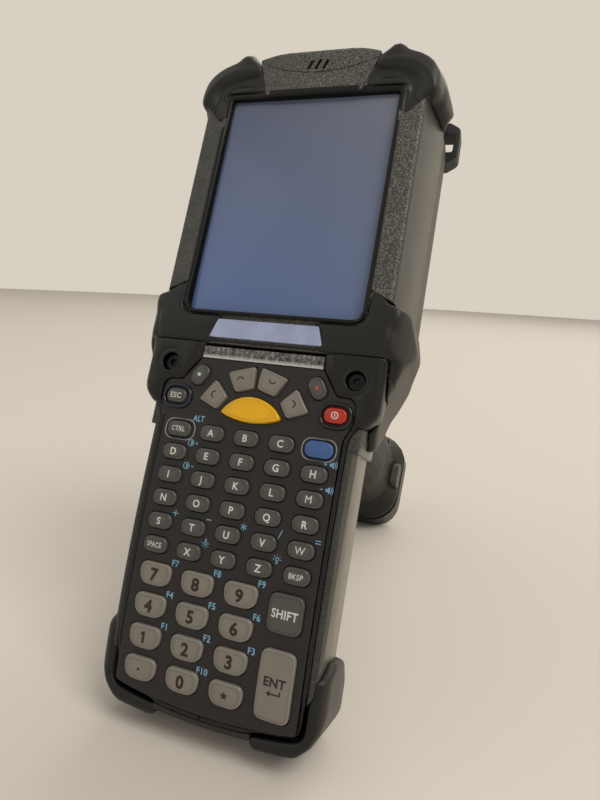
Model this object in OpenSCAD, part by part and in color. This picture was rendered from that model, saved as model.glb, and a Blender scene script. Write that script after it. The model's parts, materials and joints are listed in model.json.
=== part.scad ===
// Rugged hand-held data terminal with a pistol grip, standing on its lower boots and its grip foot.
// Every piece is drawn in the device's own axes: x to the right, y up the face, z out of the face,
// with z = 0 at the key tops and y = 0 in the middle of the letter keys. stand() leans it back.

/* [Screen] */
// Width of the visible screen
screen_w = 57.6; // [46:0.1:70]
// Height of the visible screen
screen_h = 76.8; // [62:0.1:93]
// Depth of the touch panel below the face
screen_drop = 2.3; // [2:0.1:3.5]
// Width of the front strips beside the screen opening
strip_w = 7.7; // [6.2:0.1:12]

/* [Keypad] */
// Spacing of the letter keys across the face
letter_pitch_x = 11.37; // [9.6:0.01:14]
// Spacing of the letter rows
letter_pitch_y = 7.12; // [6.3:0.01:9]
// Width of a letter key
letter_w = 8.0; // [6.4:0.1:8.4]
// Height of a letter key
letter_h = 4.7; // [3.9:0.1:4.8]
// Spacing of the number keys across the face
number_pitch_x = 14.06; // [12.6:0.01:14.2]
// Spacing of the number rows
number_pitch_y = 9.17; // [8.3:0.01:11.2]
// Width of a number key
number_w = 10.8; // [8.8:0.1:11.4]
// Height of a number key
number_h = 6.6; // [5.4:0.1:7]
// How far a key travels
key_travel = 0.9; // [0.7:0.05:1.2]
// Radius of the backward bend of the lower keypad
bend_r = 476; // [390:1:600]

/* [Case] */
// Depth of the front housing, from the face to the seam
front_d = 22; // [19:0.5:27]
// Depth of the head, from the face to its back
head_d = 42; // [36:0.5:52]
// Depth of the keypad section
case_d = 30; // [28:0.5:37]
// How much wider the head is at the seam than at the face
head_flare = 4; // [3:0.1:5]
// Wall thickness of the housings
wall = 2.2; // [1.8:0.1:2.7]
// How far the scanner nose reaches past the top bar
nose_reach = 14; // [11:0.5:17]

/* [Rubber] */
// How far the rubber stands proud of the housing
rubber_proud = 4; // [3:0.1:5]
// Depth of the housing's step under the rubber, on its sides
rubber_seat = 2; // [1.6:0.1:2.4]
// Depth of the same step on the face
face_step = 0.6; // [0.5:0.1:0.7]
// Thickness of the lower boots
boot_t = 3; // [2.4:0.1:3.6]

/* [Grip] */
// Length of the grip along its own axis, from the head to the foot
grip_len = 146; // [135:1:176]
// Backward rake of the grip
grip_rake = 13; // [10:0.5:16]
// Depth of the grip, front to back
grip_d = 40; // [36:0.5:46]
// Width of the grip
grip_w = 34; // [33:0.5:40]
// Depth of the grip foot, front to back
foot_d = 50; // [46:0.5:58]
// Width of the grip foot
foot_w = 44; // [41:0.5:52]
// Thickness of the battery end cap
cap_t = 14; // [12:0.5:17]
// Swing of the trigger in degrees
trigger_swing = 8; // [6:0.5:9]

/* [Fits] */
// Gap between a key and its hole in the plate
key_gap = 0.3; // [0.2:0.05:0.4]
// Gap round pieces that slide
slide_gap = 0.3; // [0.25:0.05:0.4]
// Radial gap of a pin in its bore
pin_gap = 0.05; // [0.03:0.01:0.08]

/* [Hidden] */
$fn = 48;
arc_step = 18; // degrees of arc per side of a rounded corner
over = 1; // how far a cutting solid runs past what it cuts

KEY_ROWS = ["keys_abc", "keys_defgh", "keys_ijklm", "keys_nopqr", "keys_stuvw", "keys_xyz"];
NUMBER_ROWS = ["keys_789", "keys_456", "keys_123", "keys_point_zero_star"];

// ---- Face layout, from the letter keys outwards ----
plate_margin = 2.8; // plate edge to the outermost number key
plate_half = max(2 * letter_pitch_x + letter_w / 2 + 2.4, 29.1 * number_pitch_x / 14.06);
plate_corner = 1.4; // rounding of the plate's lower corners
frame_rim = 1.6;
frame_half = plate_half + frame_rim;
letter_top = 2.5 * letter_pitch_y;
bend_y = 4.5; // the face is flat above this line
number_x = -plate_half + plate_margin + number_w / 2;
number_y = -letter_top - 8.5;
number_end = number_y - 3 * number_pitch_y;
side_key_w = 10.2; // shift and enter
side_key_x = plate_half - plate_margin + 0.1 - side_key_w / 2;
side_keys_top = number_y + number_h / 2;
side_keys_low = number_end - number_h / 2;
shift_h = 10.7;
shift_y = side_keys_top - shift_h / 2;
side_key_space = 4.4; // between shift and enter
enter_h = side_keys_top - side_keys_low - shift_h - side_key_space;
enter_y = side_keys_low + enter_h / 2;

// The keys round the scan key lie on a fan
fan_y = letter_top + 2.7;
fan_in = 12.6;
fan_out = 19.4;
near_from = 3; // angles from the middle of the fan to the arrow keys' sides
near_to = 30.5;
far_from = 43.5;
far_to = 67.5;
scan_top = fan_y + 9.8;
scan_low = fan_y + 2.1;
dot_pos = [19.4, fan_y + 15];
dot_tilt = 32;
ear_pos = [26.1, fan_y + 7.6]; // escape and power keys
ear_r = 5.4;
plate_top = fan_y + 20.6;
plate_top_half = 20.2;
plate_low = number_end - 5;
plate_bow = 2.8; // how far the lower edge bows down
bow_r = 156;

// Layers below the curved face
rim_top = 0.2;
plate_z = -1.35;
plate_t = 1.5;
flange_t = 0.8;
flange_reach = 0.5; // how far a key's flange reaches past its cap
ledge = 0.7; // width of the frame's ledge under the plate
flange_z = plate_z - plate_t - 0.2; // top of the key flanges
board_z = flange_z - flange_t - key_travel - 0.35;
board_t = 1.2;
frame_floor_z = board_z - board_t;
frame_floor_t = 1.5;
frame_back = frame_floor_z - frame_floor_t;

// Head layout, from the keypad upwards
lens_low = plate_top + 0.3;
lens_h = 3.7;
lens_half = plate_top_half - 0.3;
collar_low = lens_low + lens_h + 1.2;
name_low = collar_low + 1.7;
name_h = 5.9;
name_half = 18.7;
face_wall = screen_drop - 0.6; // housing wall over the gasket
panel_w = screen_w + 7;
panel_h = screen_h + 7;
panel_t = 1.1;
lcd_t = 5;
gasket_lip = 0.6; // how much of the gasket shows round the screen
open_w = screen_w + 2 * gasket_lip + 1;
open_h = screen_h + 2 * gasket_lip;
screen_y = name_low + name_h + 2 + open_h / 2;
head_face = open_w / 2 + strip_w; // half width of the head at the face
head_half = head_face + head_flare; // and at the seam
head_top = screen_y + open_h / 2 + 15.1;
head_low = collar_low - 2;
head_corner = 20;
crown_r = 138;
bar_top = head_top + 2; // the bar over the screen bulges above the crown
bar_r = 65;
case_half = frame_half + 2.8;
case_low = plate_low - plate_bow - 3.1;
case_corner = 10;
ear_low = fan_y - 2; // the case widens above this line to hold the ear keys
ear_bulge = max(0.2, ear_pos[0] + ear_r + frame_rim + 2 - case_half);
speaker_h = 5.4;
speaker_y = max(bar_top - 7.8, screen_y + panel_h / 2 + 0.4 + speaker_h / 2);
nose_top = head_top + nose_reach;
nose_half = head_half - 8;
nose_d = head_d + 8;

// Grip, in its own axes: +z up the grip, +y towards the trigger
grip_y = 52;
grip_seat = head_d + 4; // depth of the pedestal's flat end
flare_z = -grip_len + cap_t + 16;
shell_end = -grip_len + cap_t;
pack_w = grip_w - 6;
pack_back = -grip_d / 2 + wall + 0.4;
pack_front = grip_d / 2 - 12.5;
pack_top = -30;
trigger_w = 15;
pin_pos = [grip_d / 2 - 8, -9];
trigger_end = 44; // how far down the grip the trigger's tip lies
pull_room = 2.9; // left behind the tip at full pull
trigger_back = pack_front + 2.2 + pull_room + (trigger_end + pin_pos[1]) * sin(trigger_swing);
pin_r = 1.5;
release_z = shell_end + 9;

// ---- Lean: both the boots and the foot rest on the ground ----
// Rounds that touch the ground, as [y, z, radius]
lip_z = -1.6; // a boot's front lip lies this far below the bent face
lip_bed = -5; // and fills the case's edge down to here
boot_low = case_low - boot_t;
boot_back = -case_d - 1;
boot_r = min(9, case_d * 0.31);
boot_round = [boot_low + boot_r, boot_back + boot_r, boot_r];
foot_edge_r = 4;
foot_low_y = -foot_d / 2 + foot_edge_r;
foot_round = [
    grip_y + foot_low_y * cos(grip_rake) + (-grip_len + foot_edge_r) * sin(grip_rake),
    -grip_seat - foot_low_y * sin(grip_rake) + (-grip_len + foot_edge_r) * cos(grip_rake),
    foot_edge_r
];
span = [boot_round[0] - foot_round[0], boot_round[1] - foot_round[1]];
lean = atan2(span[1], span[0]) - acos((boot_round[2] - foot_round[2]) / norm(span));
ground = -(boot_round[0] * cos(lean) + boot_round[1] * sin(lean)) + boot_round[2];
foot_far = [
    grip_y - foot_low_y * cos(grip_rake) + (-grip_len + foot_edge_r) * sin(grip_rake),
    -grip_seat + foot_low_y * sin(grip_rake) + (-grip_len + foot_edge_r) * cos(grip_rake)
];
back_reach = max(
    foot_far[0] * sin(lean) - foot_far[1] * cos(lean),
    foot_round[0] * sin(lean) - foot_round[1] * cos(lean)
) + foot_edge_r;
// The two places that can stand out furthest at the front, as [y, z]
rim_end = [plate_low - plate_bow - frame_rim, rim_top - bend_drop(plate_low - plate_bow - frame_rim)];
lip_end = [boot_low + 2.5, lip_z - bend_drop(case_low)];
front_reach = min(
    rim_end[0] * sin(lean) - rim_end[1] * cos(lean),
    lip_end[0] * sin(lean) - lip_end[1] * cos(lean)
);

// Leans the device back and centres its footprint on the origin
module stand() {
    translate([0, -(back_reach + front_reach) / 2, ground])
        rotate([90 - lean, 0, 0])
            children();
}

// ---- Outline helpers ----
function unit(v) = v / norm(v);

// Points of an arc that rounds corner b between a and c; b[2] is the radius
function corner_arc(a, b, c) =
    let (
        p = [b[0], b[1]],
        u = unit([a[0], a[1]] - p),
        v = unit([c[0], c[1]] - p),
        half = acos(u * v) / 2,
        room = min(norm([a[0], a[1]] - p), norm([c[0], c[1]] - p)) * 0.49,
        r = min(b[2], room * tan(half)),
        mid = p + unit(u + v) * r / sin(half),
        from = p + u * r / tan(half) - mid,
        to = p + v * r / tan(half) - mid,
        start = atan2(from[1], from[0]),
        turn = atan2(from[0] * to[1] - from[1] * to[0], from * to),
        steps = max(2, ceil(abs(turn) / arc_step))
    )
    [for (i = [0 : steps]) mid + r * [cos(start + turn * i / steps), sin(start + turn * i / steps)]];

// Closed outline of [x, y] or [x, y, corner radius] points
function rounded(pts) = [
    for (i = [0 : len(pts) - 1])
        let (a = pts[(i + len(pts) - 1) % len(pts)], b = pts[i], c = pts[(i + 1) % len(pts)])
            each len(b) == 3 && b[2] > 0 ? corner_arc(a, b, c) : [[b[0], b[1]]]
];

// Right-hand points from bottom to top, and their mirror images back down
function both_sides(pts) = concat(
    pts,
    [for (i = [len(pts) - 1 : -1 : 0]) if (pts[i][0] != 0) [-pts[i][0], pts[i][1], pts[i][2]]]
);

module shape(pts) {
    polygon(rounded([for (p = pts) [p[0], p[1], is_undef(p[2]) ? 0 : p[2]]]));
}

module symmetric(pts) {
    shape(both_sides(pts));
}

module pill(w, h, r) {
    shape([[-w / 2, -h / 2, r], [w / 2, -h / 2, r], [w / 2, h / 2, r], [-w / 2, h / 2, r]]);
}

// ---- Sweeps in the device's axes ----
// A front-view outline (x, y) between two depths
module through(z_low, z_high) {
    translate([0, 0, z_low])
        linear_extrude(z_high - z_low)
            children();
}

// A side-view outline (y, z) across the full width, or between two x values
module across(x_low, x_high) {
    translate([x_low, 0, 0])
        rotate([90, 0, 90])
            linear_extrude(x_high - x_low)
                children();
}

// A cross-section (x, z) between two heights
module up_the_face(y_low, y_high) {
    translate([0, y_high, 0])
        rotate([90, 0, 0])
            linear_extrude(y_high - y_low)
                children();
}

// A cross-section (x, z) that follows the face round its bend
module along_bend(y_low, y_high) {
    up_the_face(bend_y, y_high)
        children();
    translate([0, bend_y, -bend_r])
        rotate([180, -90, 0])
            rotate_extrude(angle = asin((bend_y - y_low) / bend_r), $fn = 360)
                translate([bend_r, 0])
                    mirror([1, -1])
                        children();
}

function bend_tilt(y) = y < bend_y ? asin((bend_y - y) / bend_r) : 0;
function bend_drop(y) = y < bend_y ? bend_r - sqrt(bend_r ^ 2 - (bend_y - y) ^ 2) : 0;

// Puts a key drawn round the origin on the curved face
module on_face(pos) {
    translate([pos[0], pos[1], -bend_drop(pos[1])])
        rotate([bend_tilt(pos[1]), 0, 0])
            children();
}

module mirror_copy() {
    children();
    mirror([1, 0, 0])
        children();
}

// The grip's own axes
module on_grip() {
    translate([0, grip_y, -grip_seat])
        rotate([-grip_rake, 0, 0])
            children();
}

// ---- Head and case envelopes; g grows or shrinks every outer face ----
module head_corners(g) {
    symmetric([[head_half + g, head_low], [head_half + g, head_top + g, head_corner + g]]);
}

module head_outline(g) {
    intersection() {
        head_corners(g);
        translate([0, head_top - crown_r])
            circle(crown_r + g, $fn = 180);
    }
    intersection() {
        translate([-bar_half_top - 2, head_low])
            square([2 * bar_half_top + 4, bar_top]);
        translate([0, bar_top - bar_r])
            circle(bar_r + g, $fn = 120);
    }
}

module head_section(g, face) {
    flare_d = front_d + 12;
    symmetric([
        [head_half - 9 + g, -head_d - g, 7],
        [head_half + g, -flare_d, 6],
        [head_half + g, -front_d],
        [head_face + g, face, 1.6]
    ]);
}

// g moves the sides and the back, and face moves the front
module head_block(g, face) {
    intersection() {
        through(-head_d - g - over, face + over)
            head_outline(g);
        up_the_face(head_low, bar_top + g + over)
            head_section(g, face);
        across(-head_half - over - g, head_half + over + g)
            shape([
                [head_low, face], [head_low, -head_d - g], [bar_top + g, -head_d - g, 6],
                [bar_top + g, -front_d], [bar_top + g, face, 2.5]
            ]);
    }
}

// The head under the rubber
module head_core() {
    head_block(-rubber_seat, -face_step);
}

// What of the head no rubber covers
module head_bare() {
    intersection() {
        head_block(0, 0);
        union() {
            through(-front_d - over, over)
                bare_region();
            intersection() {
                through(-nose_d, -front_d)
                    head_outline(0);
                across(-head_half - over, head_half + over)
                    rear_bare_profile();
            }
        }
    }
}

module case_outline(g) {
    intersection() {
        symmetric([
            [case_half - 0.6 + g, case_low - g, case_corner + 1.7 * g],
            [case_half + g, ear_low - 1.5],
            [case_half + ear_bulge + g, ear_low + 4],
            [case_half + ear_bulge + g, head_low + over]
        ]);
        translate([0, case_low + 190])
            circle(190 + g, $fn = 240);
    }
}

// Front part of the keypad section, with its edge rounded along the bend
module case_front(g) {
    intersection() {
        through(-front_d, 2)
            case_outline(g);
        union() {
            along_bend(case_low - 4, head_low + over)
                case_front_section(g);
            up_the_face(ear_low, head_low + over)
                case_front_section(g + ear_bulge);
        }
    }
}

module case_front_section(g) {
    symmetric([
        [case_half - 0.9 + g, -front_d - over], [case_half + g, -5, 2],
        [case_half - 1.2 + g, rim_top - 2, 1.6]
    ]);
}

module case_back_section(g, back) {
    symmetric([
        [case_half - 6 + g, back, 5], [case_half - 1.2 + g, -front_d - 2, 3],
        [case_half - 0.9 + g, -front_d + over]
    ]);
}

// Back part of the keypad section
module case_back(g) {
    intersection() {
        through(-case_d - 4, -front_d)
            case_outline(g);
        union() {
            up_the_face(case_low - 4, head_low + over)
                case_back_section(g, -case_d - g);
            up_the_face(ear_low, head_low + over)
                case_back_section(g + ear_bulge, -case_d - g);
        }
        across(-case_half - over - g, case_half + over + g)
            shape([
                [case_low - 4, -front_d + over], [case_low - g, -front_d],
                [case_low - g, -case_d + 2 - g, 6],
                [head_low - 14, -case_d - g], [head_low + 2, -case_d - g], [head_low + 2, -front_d + over]
            ]);
    }
}

// Regions of the face that stay bare: the strips beside the screen and the top bar
joint_inner = screen_y - open_h / 2 + 11.5; // collar joint, beside the screen
joint_outer = joint_inner - 5;
strip_top = screen_y + open_h / 2 - 9.9; // lower tip of a bumper's side arm
bar_half_low = 16.2;
bar_half_top = 21;

module bare_region() {
    mirror_copy()
        shape([
            [open_w / 2 - over, joint_inner], [head_face + 1, joint_outer],
            [head_half + over, joint_outer - 4],
            [head_half + over, strip_top + 14], [head_face + 1, strip_top + 7],
            [open_w / 2 + 1.8, strip_top],
            [open_w / 2 - over, strip_top + 3]
        ]);
    symmetric([
        [bar_half_low, screen_y + open_h / 2 - over], [bar_half_top, head_top - 2],
        [bar_half_top, head_top + 9]
    ]);
}

module screen_opening(g) {
    translate([0, screen_y])
        pill(open_w + 2 * g, open_h + 2 * g, 2 + g);
}

// Fastening points, as [x, y]
screw_spots = [
    for (x = [-1, 1]) each [
        [x * (head_half - 12), head_top - 8.5],
        [x * (head_half - 11), screen_y - panel_h / 2 - 3.4],
        [x * (case_half - 7), case_low + 9]
    ]
];
screw_r = 1.25;
screw_head_r = 2.6;
boss_r = 3;
keypad_screw_pos = [30.5 * frame_half / 30.74, plate_top - 2.4];

// Depth of the screw heads' seats; a thin case keeps room for the heads behind the seam
function spot_back(p) = p[1] > head_low ? head_d - wall : max(case_d - wall - 1, front_d + 2.8);

// ---- Housings ----
module front_cavity() {
    intersection() {
        through(-front_d - over, -face_wall)
            head_outline(-wall - rubber_seat);
        up_the_face(head_low + wall, head_top)
            symmetric([
                [head_half - wall - rubber_seat, -front_d - over],
                [head_face - wall - rubber_seat + 1, -face_wall]
            ]);
    }
    translate([0, 0, frame_back - 2])
        mirror([0, 0, 1])
            linear_extrude(front_d)
                symmetric([
                    [case_half - wall - 3, case_low + 12, 4],
                    [case_half - wall - 3, head_low + wall + over]
                ]);
}

module keypad_pocket() {
    intersection() {
        through(-front_d, 4)
            frame_outline(0.15);
        along_bend(case_low - 4, collar_low + 0.5)
            symmetric([[case_half + 8, frame_back - 0.15], [case_half + 8, 4]]);
    }
}

module front_housing() {
    color("#4a4b49")
    stand()
    difference() {
        union() {
            intersection() {
                through(-front_d, over)
                    head_outline(0);
                union() {
                    head_core();
                    head_bare();
                }
            }
            difference() {
                case_front(0);
                mirror_copy()
                    lip_seat();
            }
        }
        difference() {
            front_cavity();
            for (p = screw_spots)
                translate([p[0], p[1], -front_d - over])
                    cylinder(front_d, r = boss_r);
        }
        keypad_pocket();
        through(-face_wall - over, 2)
            screen_opening(0);
        for (p = screw_spots)
            translate([p[0], p[1], -front_d - over])
                cylinder(12, r = screw_r + pin_gap);
        mirror_copy()
            translate([keypad_screw_pos[0], keypad_screw_pos[1], frame_back - 6])
                cylinder(8, r = screw_r + pin_gap);
        speaker_slots();
        io_block(0.2);
    }
}

module speaker_slots() {
    for (i = [-1 : 1])
        translate([i * 2.7, speaker_y + 1, 0])
            through(-face_wall - over, over)
                rotate(-20)
                    pill(1.1, 4.6 - abs(i) * 0.8, 0.5);
}

module pedestal() {
    intersection() {
        through(-grip_seat - 6, -case_d + 2)
            translate([0, grip_y + 6])
                pill(grip_w + 10, 84, 16);
        across(-grip_w, grip_w)
            shape([
                [head_low - 26, -case_d + 1], [grip_y - 31, -grip_seat, 8], [grip_y + 42, -grip_seat, 8],
                [grip_y + 52, -head_d + 2], [grip_y + 20, -case_d + 1]
            ]);
    }
}

module nose() {
    intersection() {
        across(-nose_half, nose_half)
            shape([
                [head_top - 55, -front_d - 4], [head_top - 20, -front_d + 3],
                [nose_top - 2, -front_d + 3, 3],
                [nose_top, -front_d - 6, 3], [nose_top, -nose_d + 4, 3], [nose_top - 6, -nose_d, 5],
                [head_top - 34, -nose_d, 12], [head_top - 55, -head_d + 2]
            ]);
        up_the_face(head_top - 60, nose_top + over)
            symmetric([
                [nose_half - 3, -nose_d, 8], [nose_half, -front_d - 8, 5],
                [nose_half - 4, -front_d + 3, 5]
            ]);
    }
}

window_w = 2 * nose_half - 22;
window_h = 17;
window_z = -front_d - 14;

module window_shape(g) {
    pill(window_w + 2 * g, window_h + 2 * g, 4 + g);
}

module rear_cavity() {
    intersection() {
        through(-head_d + wall, -front_d + over)
            head_outline(-wall - rubber_seat);
        up_the_face(head_low + wall, head_top)
            symmetric([
                [head_half - 9 - wall - rubber_seat, -head_d + wall],
                [head_half - wall - rubber_seat, -front_d - 10],
                [head_half - wall - rubber_seat, -front_d + over]
            ]);
    }
    through(-case_d + wall + 1, -front_d + over)
        symmetric([
            [case_half - wall - 6, case_low + 12, 4], [case_half - wall - 6, head_low + wall + over]
        ]);
    // The scanner's bay
    across(-nose_half + wall + 2, nose_half - wall - 2)
        shape([
            [head_top - 30, -front_d - 3], [nose_top - wall - 2, -front_d - 3],
            [nose_top - wall - 2, -nose_d + wall + 1],
            [head_top - 30, -nose_d + wall + 1]
        ]);
}

module rear_housing() {
    color("#45443f")
    stand()
    difference() {
        union() {
            intersection() {
                through(-nose_d, -front_d)
                    head_outline(0);
                union() {
                    head_core();
                    head_bare();
                }
            }
            case_back(0);
            pedestal();
            difference() {
                nose();
                through(-front_d, over)
                    head_outline(0.2);
            }
        }
        difference() {
            rear_cavity();
            for (p = screw_spots)
                translate([p[0], p[1], -head_d])
                    cylinder(head_d - front_d, r = boss_r);
            board_posts();
        }
        for (p = screw_spots) {
            translate([p[0], p[1], -spot_back(p) - 8])
                cylinder(spot_back(p), r = screw_r + 0.15);
            translate([p[0], p[1], -spot_back(p) - 20])
                cylinder(22, r = screw_head_r + 0.2);
        }
        // Scan window and its seat
        translate([0, nose_top + over, window_z])
            rotate([90, 0, 0])
                linear_extrude(over + 2.2)
                    window_shape(0);
        translate([0, nose_top, window_z])
            rotate([90, 0, 0])
                linear_extrude(wall + 4)
                    window_shape(-1.5);
    }
}

// The rear of the head that no rubber covers
module rear_bare_profile() {
    shape([
        [joint_outer - 6, -front_d + over], [joint_outer - 10, -head_d - over],
        [head_top + 4, -head_d - over],
        [head_top + 4, -front_d - 9], [strip_top + 10, -front_d - 9], [strip_top + 6, -front_d + over]
    ]);
}

board_size = [2 * (head_face - 9), head_top - head_low - 46];
board_y = head_low + 14 + board_size[1] / 2;
main_board_t = 1.6;
board_back = front_d - main_board_t; // it lies on the posts, level with the seam

module board_posts() {
    for (x = [-1, 1], y = [-1, 1])
        translate([x * (board_size[0] / 2 - 6), board_y + y * (board_size[1] / 2 - 5), -head_d])
            cylinder(head_d - front_d, r = 3);
}

// ---- Rubber ----
module bumper_region() {
    shape([
        [bar_half_low + 0.3, screen_y + open_h / 2 - over], [bar_half_top + 0.3, head_top - 2],
        [bar_half_top + 5.4, head_top + 4.5], [bar_half_top + 5.4, head_top + 9],
        [head_half + 9, head_top + 9], [head_half + 9, strip_top + 8], [head_face + 1, strip_top + 6.6],
        [open_w / 2 + 1.8, strip_top - 0.3, 1.2], [open_w / 2 - over, strip_top + 3],
        [open_w / 2 - over, screen_y + open_h / 2 - over]
    ]);
}

module bumper() {
    difference() {
        intersection() {
            up_the_face(head_low, head_top + 9)
                head_section(rubber_proud, 1.2);
            through(-front_d - 9, 1.2)
                intersection() {
                    head_corners(rubber_proud);
                    bumper_region();
                }
            across(0, head_half + 9)
                shape([
                    [strip_top - over, 2], [strip_top - over, -2], [strip_top + 9, -front_d, 3],
                    [strip_top + 12, -front_d - 9, 2],
                    [strip_top + 22, -front_d - 9, 4], [head_top - 4, -front_d + 4, 4],
                    [head_top + 9, -front_d + 4],
                    [head_top + 9, -8], [head_top + 2, 2, 5]
                ]);
        }
        head_core();
        head_bare();
        nose();
        through(-face_wall - over, 3)
            screen_opening(0);
    }
}

module bumper_left() {
    color("#1b1c1e")
        stand()
            mirror([1, 0, 0])
                bumper();
}

module bumper_right() {
    color("#1b1c1e")
        stand()
            bumper();
}

skirt_tip = collar_low - 27;

module collar_outline() {
    symmetric([
        [case_half + 3.6, skirt_tip, 2], [case_half + 4.8, collar_low - 14],
        [head_half + 1.4, collar_low - 1, 3],
        [head_half + rubber_proud, collar_low + 4, 4], [head_half + 1, joint_outer - 1],
        [head_face, joint_outer - 0.2],
        [open_w / 2 - over, joint_inner - 0.2]
    ]);
}

module collar() {
    color("#1b1c1e")
    stand()
    difference() {
        intersection() {
            through(-front_d - 12, 0.9)
                collar_outline();
            across(-head_half - 9, head_half + 9)
                shape([
                    [joint_inner + over, -1], [joint_inner + over, 0.3], [collar_low + 6, 0.9, 4],
                    [collar_low, 0.4, 1],
                    [collar_low - 0.4, -3], [skirt_tip + 4, -7, 3], [skirt_tip, -12, 3],
                    [skirt_tip + 6, -20, 4],
                    [collar_low - 12, -front_d - 6, 6], [collar_low + 2, -front_d - 9, 6],
                    [joint_outer - 2, -front_d - 4, 4]
                ]);
            up_the_face(skirt_tip - over, joint_inner + over)
                symmetric([
                    [head_half - 1, -front_d - 10, 4], [head_half + rubber_proud, -front_d + 3, 5],
                    [head_half + rubber_proud - 0.5, -10, 5], [head_face + 3, 0.9, 4]
                ]);
        }
        head_core();
        head_bare();
        case_front(0);
        case_back(0);
        through(-front_d - 12, 3)
            translate([0, skirt_tip - over])
                symmetric([[case_half - 3, 0], [case_half - 3, collar_low - skirt_tip + over]]);
        keypad_solid();
        through(-face_wall - over, 3)
            screen_opening(0);
        name_plate_solid(0.05);
    }
}

// The boots wrap the lower corners and leave the middle of the end open for the contacts
boot_gap = 15.4;
lip_y = case_low + 20; // upper end of the lip on the outer edge
lip_round = 4;

// Where a boot's lip takes the place of the case's edge
module lip_seat() {
    intersection() {
        through(-front_d, 2)
            shape([
                [boot_gap, boot_low - 4], [case_half + 9, boot_low - 4], [case_half + 9, lip_y + 12.5],
                [frame_half - 3, lip_y - 10.3], [boot_gap, lip_y - 10.3]
            ]);
        along_bend(boot_low - 4, lip_y + 14)
            symmetric([[case_half + 12, lip_bed], [case_half + 12, 2]]);
    }
}

module boot() {
    difference() {
        intersection() {
            through(boot_back - over, 0)
                case_outline(boot_t);
            across(0, case_half + 9)
                shape([
                    [boot_low, boot_back, boot_r], [case_low + 17, boot_back, 3],
                    [case_low + 24, boot_back + 7, 4],
                    [case_low + 25, -12, 4], [lip_y + 0.5, lip_z + 0.3 - bend_drop(lip_y)],
                    [boot_low, lip_z - bend_drop(boot_low), lip_round]
                ]);
            along_bend(boot_low - 4, lip_y + 14)
                symmetric([
                    [case_half + boot_t - 1.5, boot_back - over], [case_half + boot_t, lip_z - 8, 4],
                    [case_half + boot_t - 0.8, lip_z, lip_round]
                ]);
            through(boot_back - over, 0)
                translate([boot_gap, boot_low - 4])
                    square([case_half, 40]);
        }
        difference() {
            case_front(0);
            lip_seat();
        }
        case_back(0);
        keypad_pocket();
    }
}

module boot_left() {
    color("#1b1c1e")
        stand()
            mirror([1, 0, 0])
                boot();
}

module boot_right() {
    color("#1b1c1e")
        stand()
            boot();
}

// ---- Display ----
module display_gasket() {
    color("#101114")
        stand()
            translate([0, screen_y, -screen_drop])
                linear_extrude(screen_drop - face_wall)
                    difference() {
                        pill(panel_w, panel_h, 2);
                        pill(screen_w, screen_h, 1.2);
                    }
}

module touch_panel() {
    color("#56647c")
        stand()
            translate([0, screen_y, -screen_drop - panel_t])
                linear_extrude(panel_t)
                    pill(panel_w, panel_h, 2);
}

module lcd_module() {
    color("#8d9095")
        stand()
            translate([0, screen_y, -screen_drop - panel_t - lcd_t])
                linear_extrude(lcd_t)
                    pill(panel_w, panel_h, 1);
}

module name_plate_solid(g) {
    through(-face_step, 2)
        symmetric([[name_half + g, name_low - g, 0.4], [name_half - 2 + g, name_low + name_h + g, 0.4]]);
}

module nameplate() {
    color("#a9a4bd")
        stand()
            intersection() {
                name_plate_solid(0);
                through(-face_step, 0.2)
                    square(400, center = true);
            }
}

module speaker() {
    color("#2c2c2e")
        stand()
            translate([0, speaker_y, -face_wall - 4.2])
                linear_extrude(4)
                    pill(15, speaker_h, 3);
}

// ---- Boards ----
module main_board() {
    color("#2f6a45")
        stand()
            translate([0, board_y, -board_back - main_board_t]) {
                linear_extrude(main_board_t)
                    pill(board_size[0], board_size[1], 2);
                translate([0, 8, main_board_t])
                    linear_extrude(2)
                        pill(24, 24, 1);
                translate([14, -26, main_board_t])
                    linear_extrude(1.6)
                        pill(14, 20, 1);
            }
}

module backup_battery() {
    color("#3f7f8c")
        stand()
            translate([0, board_y - 6, -board_back - main_board_t - 4.2])
                cylinder(4.1, r = 9);
}

// ---- Keypad ----
// Height of the plate's bowed lower edge at x
function bow_low(x, g) = plate_low - plate_bow + bow_r - sqrt((bow_r + g) ^ 2 - x ^ 2);

module plate_outline(g) {
    side = plate_half + g;
    symmetric([
        for (f = [0 : 0.2 : 0.8]) [f * side, bow_low(f * side, g)],
        [side - 0.2, bow_low(side, g), plate_corner + g],
        [side, fan_y + 1, 6],
        [ear_pos[0] + ear_r + g, ear_pos[1] - 2, 5],
        [ear_pos[0] + ear_r + g, ear_pos[1] + ear_r + g, ear_r + g],
        [ear_pos[0] - 0.6 + g / 2, ear_pos[1] + ear_r + g, 1.5],
        [plate_top_half + g, plate_top + g]
    ]);
}

module shoulder_outline(g) {
    mirror_copy()
        shape([
            [plate_top_half + 0.5, collar_low - 0.2], [case_half + 5.2 + g, collar_low - 0.2, 1],
            [case_half + 5.4 + g, fan_y + 9, 2], [case_half + 2 + g, fan_y + 5, 1.5],
            [plate_half + g, fan_y + 5], [plate_half - 6, fan_y + 14]
        ]);
}

module frame_outline(g) {
    plate_outline(frame_rim + g);
    shoulder_outline(g);
    symmetric([[plate_top_half + 1 + g, plate_top - 3], [plate_top_half + 1 + g, collar_low - 0.2]]);
}

// Solid volume that the keypad module fills
module keypad_solid() {
    intersection() {
        through(frame_back - 6, 0.4)
            frame_outline(0);
        along_bend(case_low - 4, collar_low)
            symmetric([[case_half + 8, frame_back], [case_half + 8, rim_top]]);
    }
    through(frame_back, 0.35)
        difference() {
            shoulder_outline(0);
            plate_outline(frame_rim - 0.4);
        }
}

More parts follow.
